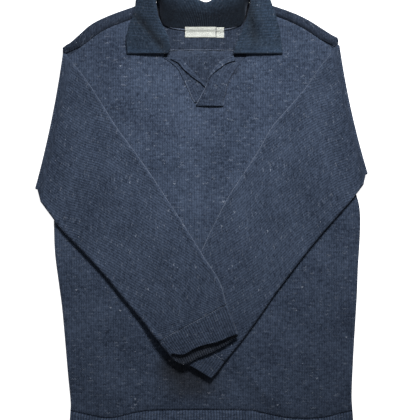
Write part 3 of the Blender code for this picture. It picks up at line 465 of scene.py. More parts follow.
def cloth(name, mid, uv, thickness, finish, closed=False, hole=None, shade=None):
    """Map a flat grid onto the middle surface of a piece, in millimetres, and give it its thickness.

    uv follows the knit in metres: first across its columns and then along them. hole marks cells
    that are left open, and shade is painted shade: how light the cloth is, where it isn't 1 all over.
    """
    if shade is None:
        shade = np.ones(mid.shape[:2])
    if closed:
        mid = np.concatenate([mid, mid[:1]])
        shade = np.concatenate([shade, shade[:1]])
    across, along = mid.shape[0] - 1, mid.shape[1] - 1
    bm = bmesh.new()
    bmesh.ops.create_grid(bm, x_segments=across, y_segments=along, size=1.0)
    layer = bm.loops.layers.uv.new("Knit")
    shades = bm.verts.layers.float.new("Shade")
    places = {}
    for vert in bm.verts:
        i = round((vert.co.x + 1) / 2 * across)
        j = round((vert.co.y + 1) / 2 * along)
        places[vert.index] = (i, j)
        vert.co = mid[i, j] * MM
        vert[shades] = shade[i, j]
    left_open = []
    for face in bm.faces:
        corners = [places[vert.index] for vert in face.verts]
        if hole is not None and hole[min(i for i, j in corners), min(j for i, j in corners)]:
            left_open.append(face)
            continue
        for loop, (i, j) in zip(face.loops, corners):
            loop[layer].uv = uv[i, j]
    if left_open:
        bmesh.ops.delete(bm, geom=left_open, context="FACES")
    if closed:
        seam = [vert for vert in bm.verts if places[vert.index][0] in (0, across)]
        bmesh.ops.remove_doubles(bm, verts=seam, dist=1e-7)
    mesh = bpy.data.meshes.new(name)
    bm.to_mesh(mesh)
    bm.free()
    mesh.shade_smooth()
    mesh.materials.append(finish)
    piece = bpy.data.objects.new(name, mesh)
    bpy.context.scene.collection.objects.link(piece)
    wall = piece.modifiers.new("Cloth", "SOLIDIFY")
    wall.thickness = thickness * MM
    wall.offset = 0.0
    wall.use_quality_normals = True
    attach(piece, "root")
    return piece


def dress(piece):
    """Let a piece stand for its solid, which is hidden."""
    solid = piece.name.removesuffix("_cloth")
    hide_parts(solid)


def soft_shade(spots, x, y):
    """How light the cloth is, with painted shadows in soft dark spots on it."""
    light = np.ones_like(np.asarray(x, dtype=float))
    for spot in spots:
        off = np.abs((x - spot.x) / spot.half_x) ** 3 + np.abs((y - spot.y) / spot.half_y) ** 3
        light = light * (1 - spot.depth * np.exp(-off))
    return light


def plan_uv(mid):
    """Knit columns that run straight up the garment."""
    return mid[:, :, :2] * MM


# Materials

class Level:
    """A socket that takes part in sums: each operator adds a Math node."""

    def __init__(self, finish, socket):
        self.finish = finish
        self.socket = socket

    def sum_of(self, operation, first, second=None):
        sockets = {0: first} if second is None else {0: first, 1: second}
        return self.finish.add("ShaderNodeMath", {"operation": operation}, sockets)

    def __add__(self, other):
        return self.sum_of("ADD", self, other)

    def __radd__(self, other):
        return self.sum_of("ADD", other, self)

    def __sub__(self, other):
        return self.sum_of("SUBTRACT", self, other)

    def __rsub__(self, other):
        return self.sum_of("SUBTRACT", other, self)

    def __mul__(self, other):
        return self.sum_of("MULTIPLY", self, other)

    def __rmul__(self, other):
        return self.sum_of("MULTIPLY", other, self)

    def __truediv__(self, other):
        return self.sum_of("DIVIDE", self, other)

    def __pow__(self, other):
        return self.sum_of("POWER", self, other)

    def __abs__(self):
        return self.sum_of("ABSOLUTE", self)

    def __floor__(self):
        return self.sum_of("FLOOR", self)

    def fraction(self):
        return self.sum_of("FRACT", self)

    def sine(self):
        return self.sum_of("SINE", self)

    def at_least(self, other):
        return self.sum_of("MAXIMUM", self, other)

    def held(self):
        """The level held between 0 and 1."""
        raised_level = self.at_least(0.0)
        return self.sum_of("MINIMUM", raised_level, 1.0)


class Finish:
    """Builds one material, on the coordinates of the cloth where it has a pattern."""

    def __init__(self, name):
        self.material = bpy.data.materials.new(name)
        self.material.use_nodes = True
        self.tree = self.material.node_tree
        self.tree.nodes.clear()

    def add(self, kind, settings=None, sockets=None, out=0):
        """One node: its settings come first, then the values or links of its sockets."""
        node = self.tree.nodes.new(kind)
        for key, value in (settings or {}).items():
            setattr(node, key, value)
        for key, value in (sockets or {}).items():
            if isinstance(value, Level):
                self.tree.links.new(value.socket, node.inputs[key])
            else:
                node.inputs[key].default_value = value
        return Level(self, node.outputs[out]) if node.outputs else None

    def uv(self):
        """Distances across and along the knit, in metres."""
        place = self.add("ShaderNodeUVMap", {"uv_map": "Knit"})
        across = self.add("ShaderNodeSeparateXYZ", None, {0: place})
        return across, Level(self, across.socket.node.outputs[1])

    def point(self, x, y, z=0.0):
        return self.add("ShaderNodeCombineXYZ", None, {0: x, 1: y, 2: z})

    def shade(self):
        """How light the cloth is, from the painted shade in its Shade attribute."""
        return self.add("ShaderNodeAttribute", {"attribute_name": "Shade"}, out=2)

    def noise(self, x, y, detail, roughness):
        """Soft clouds about 1 across."""
        sockets = {"Vector": self.point(x, y), "Scale": 1.0, "Detail": detail, "Roughness": roughness}
        return self.add("ShaderNodeTexNoise", {"noise_dimensions": "2D"}, sockets)

    def chance(self, x, y):
        """A value of its own for each whole pair of numbers."""
        return self.add("ShaderNodeTexWhiteNoise", {"noise_dimensions": "2D"}, {"Vector": self.point(x, y)})

    def ramp(self, level, low, high):
        """0 below low, 1 above high, smooth between."""
        return self.add("ShaderNodeMapRange", {"interpolation_type": "SMOOTHSTEP"},
                        {0: level, 1: low, 2: high, 3: 0.0, 4: 1.0})

    def mix(self, factor, first, second, blend="MIX"):
        """Two colours mixed, each of them a socket's or three numbers."""
        colours = [value if isinstance(value, Level) else (*value, 1.0) for value in (first, second)]
        return self.add("ShaderNodeMix", {"data_type": "RGBA", "blend_type": blend},
                        {0: factor, 6: colours[0], 7: colours[1]}, out=2)

    def surface(self, sockets):
        """The finished material, from the values and links of its surface."""
        surface = self.add("ShaderNodeBsdfPrincipled", None, sockets)
        self.add("ShaderNodeOutputMaterial", None, {"Surface": surface})
        return self.material

    def cloth_surface(self, colour, height, depth, roughness, sheen):
        """A soft cloth: height is its relief from 0 to 1, and depth the real depth of that."""
        bump = self.add("ShaderNodeBump", None, {"Height": height, "Distance": depth, "Strength": 1.0})
        return self.surface({"Base Color": colour, "Roughness": roughness, "Normal": bump,
                             "Sheen Weight": sheen, "Sheen Roughness": 0.5,
                             "Sheen Tint": (0.62, 0.74, 1.0, 1.0), "Specular IOR Level": 0.12})


def melange(finish, across, along, groove, colours, lighten=1.0, tint=(1.0, 1.0, 1.0)):
    """The mixed yarn: a chance shade for each stitch, long slubs, pale flecks, and painted shade in the
    grooves.
    """
    stitch = finish.chance(math.floor(across * 2.0), math.floor(along))
    slub = finish.noise(across * 0.32, along * 1.15, 3.0, 0.7)
    cloud = finish.noise(across * 0.045, along * 0.045, 4.0, 0.6)
    fibre = finish.noise(across * 2.3, along * 2.1, 2.0, 0.6)
    mottle = finish.noise(across * 0.55 + 9.0, along * 0.55, 2.0, 0.6)
    lightness = (0.42 + (stitch - 0.5) * 0.36 + (slub - 0.5) * 1.2 + (mottle - 0.5) * 0.5
                 + (cloud - 0.5) * 0.7 + (fibre - 0.5) * 0.7).held()
    navy = tuple(c * lighten * t for c, t in zip(colours.navy, tint))
    slate = tuple(c * lighten * t for c, t in zip(colours.slate, tint))
    yarn = finish.mix(lightness, navy, slate)
    pale = finish.ramp(finish.noise(across * 0.30 + 31.0, along * 1.1, 1.0, 0.5), 0.68, 0.80)
    nep = finish.ramp(finish.noise(across * 0.5 + 77.0, along * 0.6 + 13.0, 0.0, 0.5), 0.90, 0.93)
    flecked = finish.mix(pale * 0.35, yarn, tuple(colours.fleck))
    flecked = finish.mix(nep * 0.8, flecked, tuple(colours.fleck))
    # Painted shade: the grooves and the Shade attribute darken the yarn, browner where it is darker
    light = finish.shade()
    shade = finish.point(groove * light, groove * light ** 1.2, groove * light ** 1.4)
    return finish.mix(1.0, flecked, shade, "MULTIPLY")


def plain_knit(name, sizes, colours, lighten=1.0):
    """Plain knit: columns of V-shaped stitches with a groove between the columns, darkened with painted
    shade.
    """
    finish = Finish(name)
    u, v = finish.uv()
    across = u / sizes.wale
    aside = abs(across.fraction() - 0.5) * 2.0
    along = v / sizes.course + aside * 0.6
    wobble = finish.noise(across * 0.4, along * 0.25, 2.0, 0.5) - 0.5
    stitch = (along * (2 * math.pi)).sine() * 0.5 + 0.5
    dome = 1.0 - aside ** 2.5
    height = dome * (0.72 + stitch * 0.28) + wobble * 0.8
    groove = 1.0 - (aside ** 3.0) * 0.28
    colour = melange(finish, across, along, groove, colours, lighten)
    return finish.cloth_surface(colour, height, 0.0005, 0.93, 0.14)


def rib_knit(name, pitch, colours, lighten=1.0, tint=(1.0, 1.0, 1.0), depth=0.5, stand=0.0):
    """Rib: raised columns with a deep groove between them; stand is the height of a foot darkened with
    painted shade.

    depth is how dark the painted shade in the grooves is.
    """
    finish = Finish(name)
    u, v = finish.uv()
    across = u / pitch
    aside = abs(across.fraction() - 0.5) * 2.0
    along = v / 0.0029 + aside * 0.5
    stitch = (along * (2 * math.pi)).sine() * 0.5 + 0.5
    height = (1.0 - aside ** 2.0) * (0.8 + stitch * 0.2)
    groove = 1.0 - (aside ** 2.5) * depth
    # Painted shade on the collar's foot: dark at the neck and light from the roll
    if stand:
        groove = groove * (0.26 + finish.ramp(v, stand * 0.45, stand * 1.02) * 0.74)
    colour = melange(finish, across, along, groove, colours, lighten, tint)
    return finish.cloth_surface(colour, height, 0.0011, 0.93, 0.14)


def woven_label(name, colours):
    """A fine off-white weave."""
    finish = Finish(name)
    u, v = finish.uv()
    warp = (u * (2 * math.pi / 0.0008)).sine()
    weft = (v * (2 * math.pi / 0.0007)).sine()
    weave = warp * weft
    cloud = finish.noise(u * 90.0, v * 90.0, 3.0, 0.6)
    light = (0.55 + weave * 0.12 + (cloud - 0.5) * 0.9).held()
    dark = tuple(c * 0.78 for c in colours.woven)
    colour = finish.mix(light, dark, tuple(colours.woven))
    return finish.cloth_surface(colour, weave, 0.0002, 0.75, 0.1)


def seam_yarn(name, colours):
    """The stitches of a seam: short strands that slant round it. Light cords of it along folds are painted
    highlights.
    """
    finish = Finish(name)
    u, v = finish.uv()
    strand = ((u + v * 0.8) * (2 * math.pi / 0.0026)).sine() * 0.5 + 0.5
    patch = finish.noise(u * 200.0, v * 120.0, 2.0, 0.6)
    light = (0.20 + strand * 0.3 + (patch - 0.5) * 1.2).held()
    slate = tuple(c * 0.8 for c in colours.slate)
    fleck = tuple(c * 0.8 for c in colours.fleck)
    colour = finish.mix(light, slate, fleck)
    return finish.cloth_surface(colour, strand, 0.0004, 0.93, 0.14)


def finish_of(name):
    """The material of that name, made on first use."""
    if name in bpy.data.materials:
        return bpy.data.materials[name]
    scene = bpy.context.scene
    sizes, colours = scene.sweater_sizes, scene.sweater_colours
    makers = {
        "body_knit": lambda: plain_knit(name, sizes, colours),
        "sleeve_knit": lambda: plain_knit(name, sizes, colours, 0.92),
        # The yoke and the back are darker copies of the body knit: painted shade inside the neck, which
        # also darkens the yoke on the shoulders
        "shaded_yoke_knit": lambda: plain_knit(name, sizes, colours, 0.60),
        "shaded_back_knit": lambda: plain_knit(name, sizes, colours, 0.66),
        "hem_knit": lambda: rib_knit(name, sizes.hem_rib, colours, 1.28),
        "cuff_knit": lambda: rib_knit(name, sizes.cuff_rib, colours, 0.92),
        "collar_knit": lambda: rib_knit(name, sizes.collar_rib, colours, 1.30, (0.88, 1.02, 1.01),
                                        0.9, COLLAR_STAND * MM),
        "band_knit": lambda: plain_knit(name, sizes, colours, 0.82),
        "seam_yarn": lambda: seam_yarn(name, colours),
        "label_weave": lambda: woven_label(name, colours),
    }
    return makers[name]()


# The pieces

def make_back():
    """The back: one flat piece from the hem to the yoke."""
    left_edge = np.concatenate([even_curve(RIGHT_SIDE, 30), even_curve(RIGHT_ARMHOLE, 16)[1:]])
    right_edge = np.concatenate([even_curve(LEFT_SIDE, 30), even_curve(LEFT_ARMHOLE, 16)[1:]])
    left_edge = left_edge + (BACK_INSET, 0)
    right_edge = right_edge - (BACK_INSET, 0)
    top = even_curve(BACK_SEAM, 61)
    left_edge[-1] = top[0]
    right_edge[-1] = top[-1]
    bottom = even_curve(HEM_SEAM, 61) + (0, 4 * GAP)
    bottom[0] = left_edge[0] = (left_edge[0][0], bottom[0][1])
    bottom[-1] = right_edge[0] = (right_edge[0][0], bottom[-1][1])
    flat = coons(bottom, top, left_edge, right_edge)
    mid = np.concatenate([flat, np.full(flat.shape[:2] + (1,), BACK_MID)], axis=2)
    return cloth("back_panel_cloth", mid, plan_uv(mid), BODY_KNIT, finish_of("shaded_back_knit"))


def front_half(side, armhole, seam, neck, band, base_end, hem_part):
    """A grid over one half of the front, from its side to its middle and from the hem upwards.

    base_end is this half's end of the base of the placket, and hem_part the share of the hem seam at
    which the column below it starts.
    """
    arm = smooth_rows(armhole, np.linspace(0, 1, 100))
    high_parts = np.linspace(LOW_ARM, 1, SLIT_ROWS + NECK_ROWS)[1:]
    arm_parts = np.concatenate([np.linspace(0, LOW_ARM, LOW_ROWS), high_parts])
    edge = np.concatenate([even_curve(side, SIDE_ROWS), spaced(arm, arm_parts)[1:]])
    slit_foot = (len(band) - 2) / (len(band) - 1)
    slit = smooth_rows(band, np.linspace(slit_foot, 0, SLIT_ROWS))[:, :2]
    above = np.concatenate([[base_end], slit, even_curve(neck[::-1], NECK_ROWS)[1:]])
    foot = smooth_rows(HEM_SEAM, np.array([hem_part]))[0]
    below = foot + (above[0] - foot) * np.linspace(0, 1, BASE_ROW + 1)[:, None]
    middle = np.concatenate([below, above[1:]])
    even = np.linspace(0, 1, FRONT_COLUMNS - len(NEAR_SIDE))[1:]
    fractions = np.concatenate([[0], NEAR_SIDE, NEAR_SIDE[-1] + (1 - NEAR_SIDE[-1]) * even])
    dense_top = smooth_rows(seam, np.linspace(0, 1, 200))
    dense_bottom = smooth_rows(HEM_SEAM, np.linspace(0 if side is RIGHT_SIDE else 1, hem_part, 200))
    top = spaced(dense_top, fractions)
    bottom = spaced(dense_bottom, fractions) + (0, GAP)
    edge[0] = bottom[0]
    edge[-1] = top[0]
    middle[0] = bottom[-1]
    middle[-1] = top[-1]
    grid = np.zeros((FRONT_COLUMNS, len(edge), 2))
    up = np.linspace(0, 1, len(edge))[:, None]
    for i, part in enumerate(fractions):
        line = (1 - part) * edge + part * middle
        miss_bottom = bottom[i] - line[0]
        miss_top = top[i] - line[-1]
        grid[i] = line + miss_bottom * (1 - up) + miss_top * smoothstep(up * 3 - 2)
    return grid


def front_height(flat, from_side):
    """Height of the front's middle: soft folds and creases, dips at the seams, sides that come down."""
    height = (FRONT_MID + lift_of(FRONT_FOLDS, flat[:, :, 0], flat[:, :, 1])
              + lift_of(FRONT_CREASES, flat[:, :, 0], flat[:, :, 1]))
    for seam in (flat[:, :1], flat[:, -1:]):
        off_seam = np.linalg.norm(flat - seam, axis=2)
        height = height - SEAM_DIP * np.exp(-(off_seam / SEAM_DIP_WIDTH) ** 2)
    below_arm = 1 - smoothstep((np.arange(flat.shape[1]) - (SIDE_ROWS - 14)) / 12.0)
    drop = SIDE_DROP * np.exp(-(from_side / SIDE_DROP_WIDTH) ** 1.5)
    height = height - drop * below_arm[None, :]
    return np.maximum(height, BODY_KNIT / 2 + 0.1)


def make_front():
    """The front: two halves that share the cloth below the placket and part at the open neck."""
    base = np.array([tuple(row) for row in PLACKET_BASE])
    right = front_half(RIGHT_SIDE, RIGHT_ARMHOLE, RIGHT_FRONT_SEAM, RIGHT_NECK, RIGHT_BAND, base[0], 0.45)
    left = front_half(LEFT_SIDE, LEFT_ARMHOLE, LEFT_FRONT_SEAM, LEFT_NECK, LEFT_BAND, base[-1], 0.53)
    parts = np.linspace(0, 1, BASE_COLUMNS + 1)[1:-1]
    middle = [(1 - part) * right[-1] + part * left[-1] for part in parts]
    flat = np.concatenate([right, np.array(middle), left[::-1]])
    uv = flat * MM
    x = flat[:, :, 0]
    from_side = np.minimum(np.abs(x - x[:1]), np.abs(x - x[-1:]))
    height = front_height(flat, from_side)
    # Beside the armholes the front stays clear of the sleeves, but not next to the neck
    rows = np.arange(flat.shape[1])
    inset = ARM_INSET * np.exp(-(from_side / INSET_WIDTH) ** 2) * (rows >= SIDE_ROWS - 4)
    inset = inset * (1 - smoothstep((rows - (rows[-1] - 12)) / 8.0))
    inward = np.where(np.arange(flat.shape[0])[:, None] < FRONT_COLUMNS, 1, -1)
    flat[:, :, 0] += inset * inward
    mid = np.concatenate([flat, height[:, :, None]], axis=2)
    hole = np.zeros((mid.shape[0] - 1, mid.shape[1] - 1), dtype=bool)
    hole[FRONT_COLUMNS - 1:FRONT_COLUMNS - 1 + BASE_COLUMNS, BASE_ROW:] = True
    # Painted shadows below the cuffs and beside the placket
    shade = soft_shade(FRONT_PAINTED_SHADOWS, flat[:, :, 0], flat[:, :, 1])
    return cloth("front_panel_cloth", mid, uv, BODY_KNIT, finish_of("body_knit"), hole=hole, shade=shade)


def yoke_line(back, edge, front, flat_share):
    """The yoke's middle from the back seam to the shoulder, round it and down to the front seam."""
    inward = (back - edge) / np.linalg.norm(back - edge)
    centre = edge + inward * (SHOULDER_ROLL + BODY_KNIT / 2)
    arc = [np.append(centre - inward * SHOULDER_ROLL * math.cos(angle),
                     BACK_MID + SHOULDER_ROLL + SHOULDER_ROLL * math.sin(angle))
           for angle in np.linspace(-math.pi / 2, math.pi / 2, 25)]
    end = np.append(front, FRONT_MID - 0.9)
    crest = arc[-1] + (end - arc[-1]) * 0.6
    crest[2] = arc[-1][2] + 0.3
    back_line = np.array([np.append(back, BACK_MID), arc[0]])
    back_part = spaced(back_line, np.append(np.linspace(0, flat_share, 19), 1))
    arc_part = spaced(np.array(arc), np.linspace(0, 1, 13))[1:]
    slope = smooth_rows([tuple(point) for point in (arc[-1], crest, end)], np.linspace(0, 1, 30))
    front_part = spaced(slope, np.linspace(0, 1, 12))[1:]
    return np.concatenate([back_part, arc_part, front_part])


def yoke_half(shoulder, seam, backs):
    """Lines across one side of the yoke, from the armhole to the neck."""
    edges = even_curve(shoulder, YOKE_STATIONS)
    fronts = even_curve(seam, YOKE_STATIONS)
    # Near the neck the even rows reach up to the shoulder, to meet the middle of the yoke
    near_neck = smoothstep((np.arange(YOKE_STATIONS) - 40) / 8.0)
    flat_shares = 0.81 + 0.19 * near_neck
    half = []
    for back, edge, front, flat_share in zip(backs, edges, fronts, flat_shares):
        upward = (edge - front) / np.linalg.norm(edge - front)
        half.append(yoke_line(back, edge, front + upward * (GAP + 1.0), flat_share))
    return half


def flare_ends(mid):
    """Let both ends of the yoke reach out, the most just above the folds of the sleeves."""
    steps = 8
    last = mid.shape[0] - 1
    for first, outward, reach, fold in ((0, -1, RIGHT_FLARE, RIGHT_FOLD), (last, 1, LEFT_FLARE, LEFT_FOLD)):
        for step in range(steps):
            column = abs(first - step)
            above = mid[column, :, 1] - fold[0].y
            risen = smoothstep((above + 4) / FLARE_RISE)
            fallen = smoothstep((above - FLARE_HOLD) / FLARE_FALL)
            flare = risen * (1 - fallen)
            mid[column, :, 0] += outward * (END_REACH + reach * flare) * (1 - step / steps)


def neck_corner_shade(mid):
    """How light the yoke is: painted shade inside the corners of the neck, under the collar's stand."""
    middle_x, off_middle, width, depth = 2.5, 76.0, 8.0, 0.75
    corner = np.exp(-((np.abs(mid[:, :, 0] - middle_x) - off_middle) / width) ** 2)
    inside = mid[:, :, 2] < BACK_MID + 2.3
    return 1 - depth * corner * smoothstep((mid[:, :, 1] - 332) / 22.0) * inside


def make_yoke():
    """The back yoke: flat inside the neck, turned over the shoulders to a seam on the front."""
    seam_points = even_curve(BACK_SEAM, 300)
    neck_share = 0.33
    right_backs = spaced(seam_points, np.linspace(0, neck_share, YOKE_STATIONS))
    left_backs = spaced(seam_points, np.linspace(1, 1 - neck_share, YOKE_STATIONS))
    right = yoke_half(RIGHT_SHOULDER, RIGHT_FRONT_SEAM, right_backs)
    left = yoke_half(LEFT_SHOULDER, LEFT_FRONT_SEAM, left_backs)
    # Between the two sides the lines end at the neck, in this row, and the cells past it are left open
    neck_row = 18
    beyond = np.arange(len(right[0])) / neck_row
    neck = []
    for x, y in smooth_rows(BACK_NECK, np.linspace(0, 1, 51)):
        seam_x = x * 0.95
        start = np.array([seam_x, np.interp(seam_x, seam_points[:, 0], seam_points[:, 1]), BACK_MID])
        neck.append(start + ((x, y, BACK_MID) - start) * beyond[:, None])
    for half, column in ((right, 0), (left, -1)):
        neck[column][neck_row + 1:] = (2 * half[-1] - half[-2])[neck_row + 1:]
    mid = np.array(right + neck + left[::-1])
    hole = np.zeros((mid.shape[0] - 1, mid.shape[1] - 1), dtype=bool)
    hole[YOKE_STATIONS - 1:YOKE_STATIONS + len(neck), neck_row:] = True
    mid[:, 0, 1] += GAP
    flare_ends(mid)
    uv = np.zeros(mid.shape[:2] + (2,))
    uv[:, :, 0] = mid[:, :, 0] * MM
    uv[:, :, 1] = np.array([run_length(line) for line in mid]) * MM
    shade = neck_corner_shade(mid)
    return cloth("yoke_cloth", mid[:, ::-1], uv[:, ::-1], BODY_KNIT, finish_of("shaded_yoke_knit"),
                 hole=hole[:, ::-1], shade=shade[:, ::-1])


def tube_uv(grid):
    """Knit columns that run along a flattened tube, counted from its overarm edge."""
    closed = np.concatenate([grid, grid[:1]])
    around = np.linalg.norm(np.diff(closed, axis=0), axis=2)
    u = np.concatenate([np.zeros((1, grid.shape[1])), np.cumsum(around, axis=0)])
    steps = np.linalg.norm(np.diff(closed, axis=1), axis=2)
    v = np.concatenate([np.zeros((closed.shape[0], 1)), np.cumsum(steps, axis=1)], axis=1)
    return np.stack([u, v], axis=2) * MM


def make_sleeve(name, armhole, fold, bow, rows, outward, creases):
    """A sleeve: flat beside the armhole, folded over the side, then laid across the front."""
    columns, bend_rings, laid_rings = 64, 21, 116
    bend = fold_rings(fold, bow, outward, columns, bend_rings)
    arm_over = np.array(armhole[-1], dtype=float) + (outward * ARM_OVER_OUT, 0)
    arm_under = np.array(armhole[0], dtype=float) + (outward * ARM_UNDER_OUT, 0)
    root = flat_ring(arm_over, arm_under, (0, 0), SLEEVE_FLAT + SLEEVE_KNIT, columns, SLEEVE_KNIT)
    root[:, 2] = bend[0][:, 2]
    start = [root + (bend[0] - root) * part for part in np.linspace(0, 1, 6)[:-1]]
    laid = []
    for values in smooth_rows(rows, np.linspace(0, 1, laid_rings)):
        low = (SLEEVE_SEAT + max(values[4], 0), SLEEVE_SEAT + max(values[5], 0))
        ring = flat_ring(values[0:2], values[2:4], low, values[7], columns, SLEEVE_KNIT, max(values[6], 0))
        rise = lift_of(creases, ring[:, 0], ring[:, 1])
        chord = values[2:4] - values[0:2]
        from_over = (ring[:, :2] - values[0:2]) @ chord / np.linalg.norm(chord)
        for off_edge in (from_over, np.linalg.norm(chord) - from_over):
            rise += EDGE_PUFF * np.exp(-((off_edge - PUFF_PLACE) / PUFF_WIDTH) ** 2)
        ring[:, 2] += lift_of(FRONT_FOLDS, ring[:, 0], ring[:, 1])
        upper = slice(0, columns + EDGE_ARC)
        ring[upper, 2] += rise[upper]
        laid.append(turned_over(ring, columns))
    grid = np.swapaxes(np.array(start + bend + laid), 0, 1)
    uv = tube_uv(grid)
    if outward > 0:
        grid = np.concatenate([grid[:1], grid[:0:-1]])
        uv = uv[::-1]
    return cloth(name, grid, uv, SLEEVE_KNIT, finish_of("sleeve_knit"), closed=True)


def reach_past(ring, over, under, lip, columns, share):
    """Move the walls of a ring past it, towards the open end, by a share of the lip's reach."""
    chord = under - over
    length = np.linalg.norm(chord)
    ahead = np.array([-chord[1], chord[0]]) / length
    if ahead[1] > 0:
        ahead = -ahead
    part = np.clip((ring[:, :2] - over) @ chord / length ** 2, 0, 1)
    top, bottom = smooth_reach(lip, part)
    lower = np.ones(len(ring))
    lower[:columns] = 0
    lower[columns:columns + EDGE_ARC] = np.linspace(0, 1, EDGE_ARC + 2)[1:-1]
    lower[-EDGE_ARC:] = np.linspace(1, 0, EDGE_ARC + 2)[1:-1]
    ring[:, :2] += np.outer((top + (bottom - top) * lower) * share, ahead)
    ring[:, 2] -= LIP_DROOP * lower * share * np.sin(math.pi * part)
    return ring


def smooth_reach(lip, part):
    """The reach of the upper and the lower wall at fractions of the ring."""
    dense = smooth_rows(lip, np.linspace(0, 1, 200))
    dense[:, 0] = np.maximum.accumulate(dense[:, 0])
    return np.interp(part, dense[:, 0], dense[:, 1]), np.interp(part, dense[:, 0], dense[:, 2])


def make_cuff(name, rows, outward, lip=None):
    """A ribbed cuff: the open end of the sleeve, with ribs along its length."""
    sizes = bpy.context.scene.sweater_sizes
    columns, rings = 130, 22
    made = []
    inside = np.concatenate([np.zeros(columns), np.linspace(0, 1, EDGE_ARC),
                             np.ones(columns), np.linspace(1, 0, EDGE_ARC)])
    inside = turned_over(inside, columns)
    for share, values in zip(np.linspace(0, 1, rings), smooth_rows(rows, np.linspace(0, 1, rings))):
        over, under = values[0:2], values[2:4]
        low = (SLEEVE_SEAT + values[4], SLEEVE_SEAT + values[5])
        ring = flat_ring(over, under, low, values[7], columns, BODY_KNIT, values[6], values[8])
        if lip:
            ring = reach_past(ring, over, under, lip, columns, share ** 2)
        made.append(turned_over(ring, columns))
    grid = np.swapaxes(np.array(made), 0, 1)
    uv = tube_uv(grid)
    ribs = round(uv[-1, 0, 0] / sizes.cuff_rib)
    uv[:, :, 0] = uv[:, :1, 0] * ribs * sizes.cuff_rib / uv[-1, 0, 0]
    if outward > 0:
        grid = np.concatenate([grid[:1], grid[:0:-1]])
        uv = uv[::-1]
        inside = np.concatenate([inside[:1], inside[:0:-1]])
    rib = -np.cos(2 * np.pi * uv[:-1, :, 0] / sizes.cuff_rib) * sizes.rib_relief / MM / 2
    grid = grid + grid_normals(grid, True) * rib[:, :, None]
    # Painted shade on the lower wall, towards the open end, where it shows in the cuff's mouth
    shade = 1 - MOUTH_SHADE * np.outer(inside, smoothstep(np.linspace(-1, 2, rings)))
    return cloth(name, grid, uv, BODY_KNIT, finish_of("cuff_knit"), closed=True, shade=shade)


def make_hem():
    """The hem band: a flattened tube below the hem seam."""
    sizes = bpy.context.scene.sweater_sizes
    parts = np.linspace(0, 1, 500)
    seam = spaced(smooth_rows(HEM_SEAM, np.linspace(0, 1, 600)), parts)
    level = seam[:, 1].mean()
    radius = (FRONT_MID - FINE_RIB / 2) / 2
    middle = FINE_RIB / 2 + radius
    turn = np.radians(np.linspace(72, -72, 9))
    inset = radius + FINE_RIB / 2
    rings = []
    for depth in np.linspace(0, 1, 26) ** 1.5:
        line = seam.copy()
        line[:, 0] += (parts - 0.5) * HEM_SPREAD * depth
        levelled = (level - line[:, 1]) * 0.5 * depth
        line[:, 1] += levelled + HEM_TUCK - depth * (HEM_DEPTH + HEM_TUCK + 3 * GAP)
        line[:, 0] = np.clip(line[:, 0], line[0, 0] + inset, line[-1, 0] - inset)
        dip = HEM_DIP * math.exp(-(depth * HEM_DEPTH / 3.0) ** 2)
        puff = HEM_PUFF * math.sin(math.pi * min(1.0, 0.15 + depth)) - dip
        height = middle + radius + puff + lift_of(FRONT_FOLDS, line[:, 0], line[:, 1])
        top = np.column_stack([line, height])
        left_arc = [np.append(line[-1] + (radius * math.cos(angle), 0), middle + radius * math.sin(angle))
                    for angle in turn]
        right_arc = [np.append(line[0] - (radius * math.cos(angle), 0), middle + radius * math.sin(angle))
                     for angle in turn[::-1]]
        bottom = np.column_stack([line[::-4], np.full(len(line[::-4]), FINE_RIB / 2)])
        rings.append(np.concatenate([top, left_arc, bottom, right_arc]))
    grid = np.swapaxes(np.array(rings), 0, 1)[::-1]
    uv = tube_uv(grid)
    uv[:, :, 0] = uv[:, :1, 0]
    rib = -np.cos(2 * np.pi * uv[:-1, :, 0] / sizes.hem_rib) * sizes.rib_relief / MM / 2
    on_top = grid[:, :1, 2] > middle
    grid = grid + grid_normals(grid, True) * (rib * on_top)[:, :, None]
    return cloth("hem_band_cloth", grid, uv, FINE_RIB, finish_of("hem_knit"), closed=True)


def collar_section(neck, roll, edge, count):
    """Points across the collar: up the stand, over the roll and out to the free edge."""
    outward = np.append(edge[:2] - roll[:2], 0)
    outward = outward / max(np.linalg.norm(outward), 1e-6)
    # 1 behind the neck, where the leaf hangs close to the stand, and 0 on the shoulders and the front
    tucked = 1 - smoothstep(np.array((abs(edge[0]) - 55) / 45)) if edge[1] > 340 else 0.0
    stand = neck + (roll - neck) * 0.55 - (0, 0, 0.8)
    crown = roll + outward * (3.2 - 3.2 * tucked) + (0, 0, 1.0 - 6.0 * tucked)
    leaf = roll + (edge - roll) * 0.5 + (0, 0, 1.2 - 4.0 * tucked)
    points = [tuple(point) for point in (neck, stand, roll, crown, leaf, edge)]
    section = smooth_rows(points, np.linspace(0, 1, 120))
    return spaced(section, np.linspace(0, 1, count))


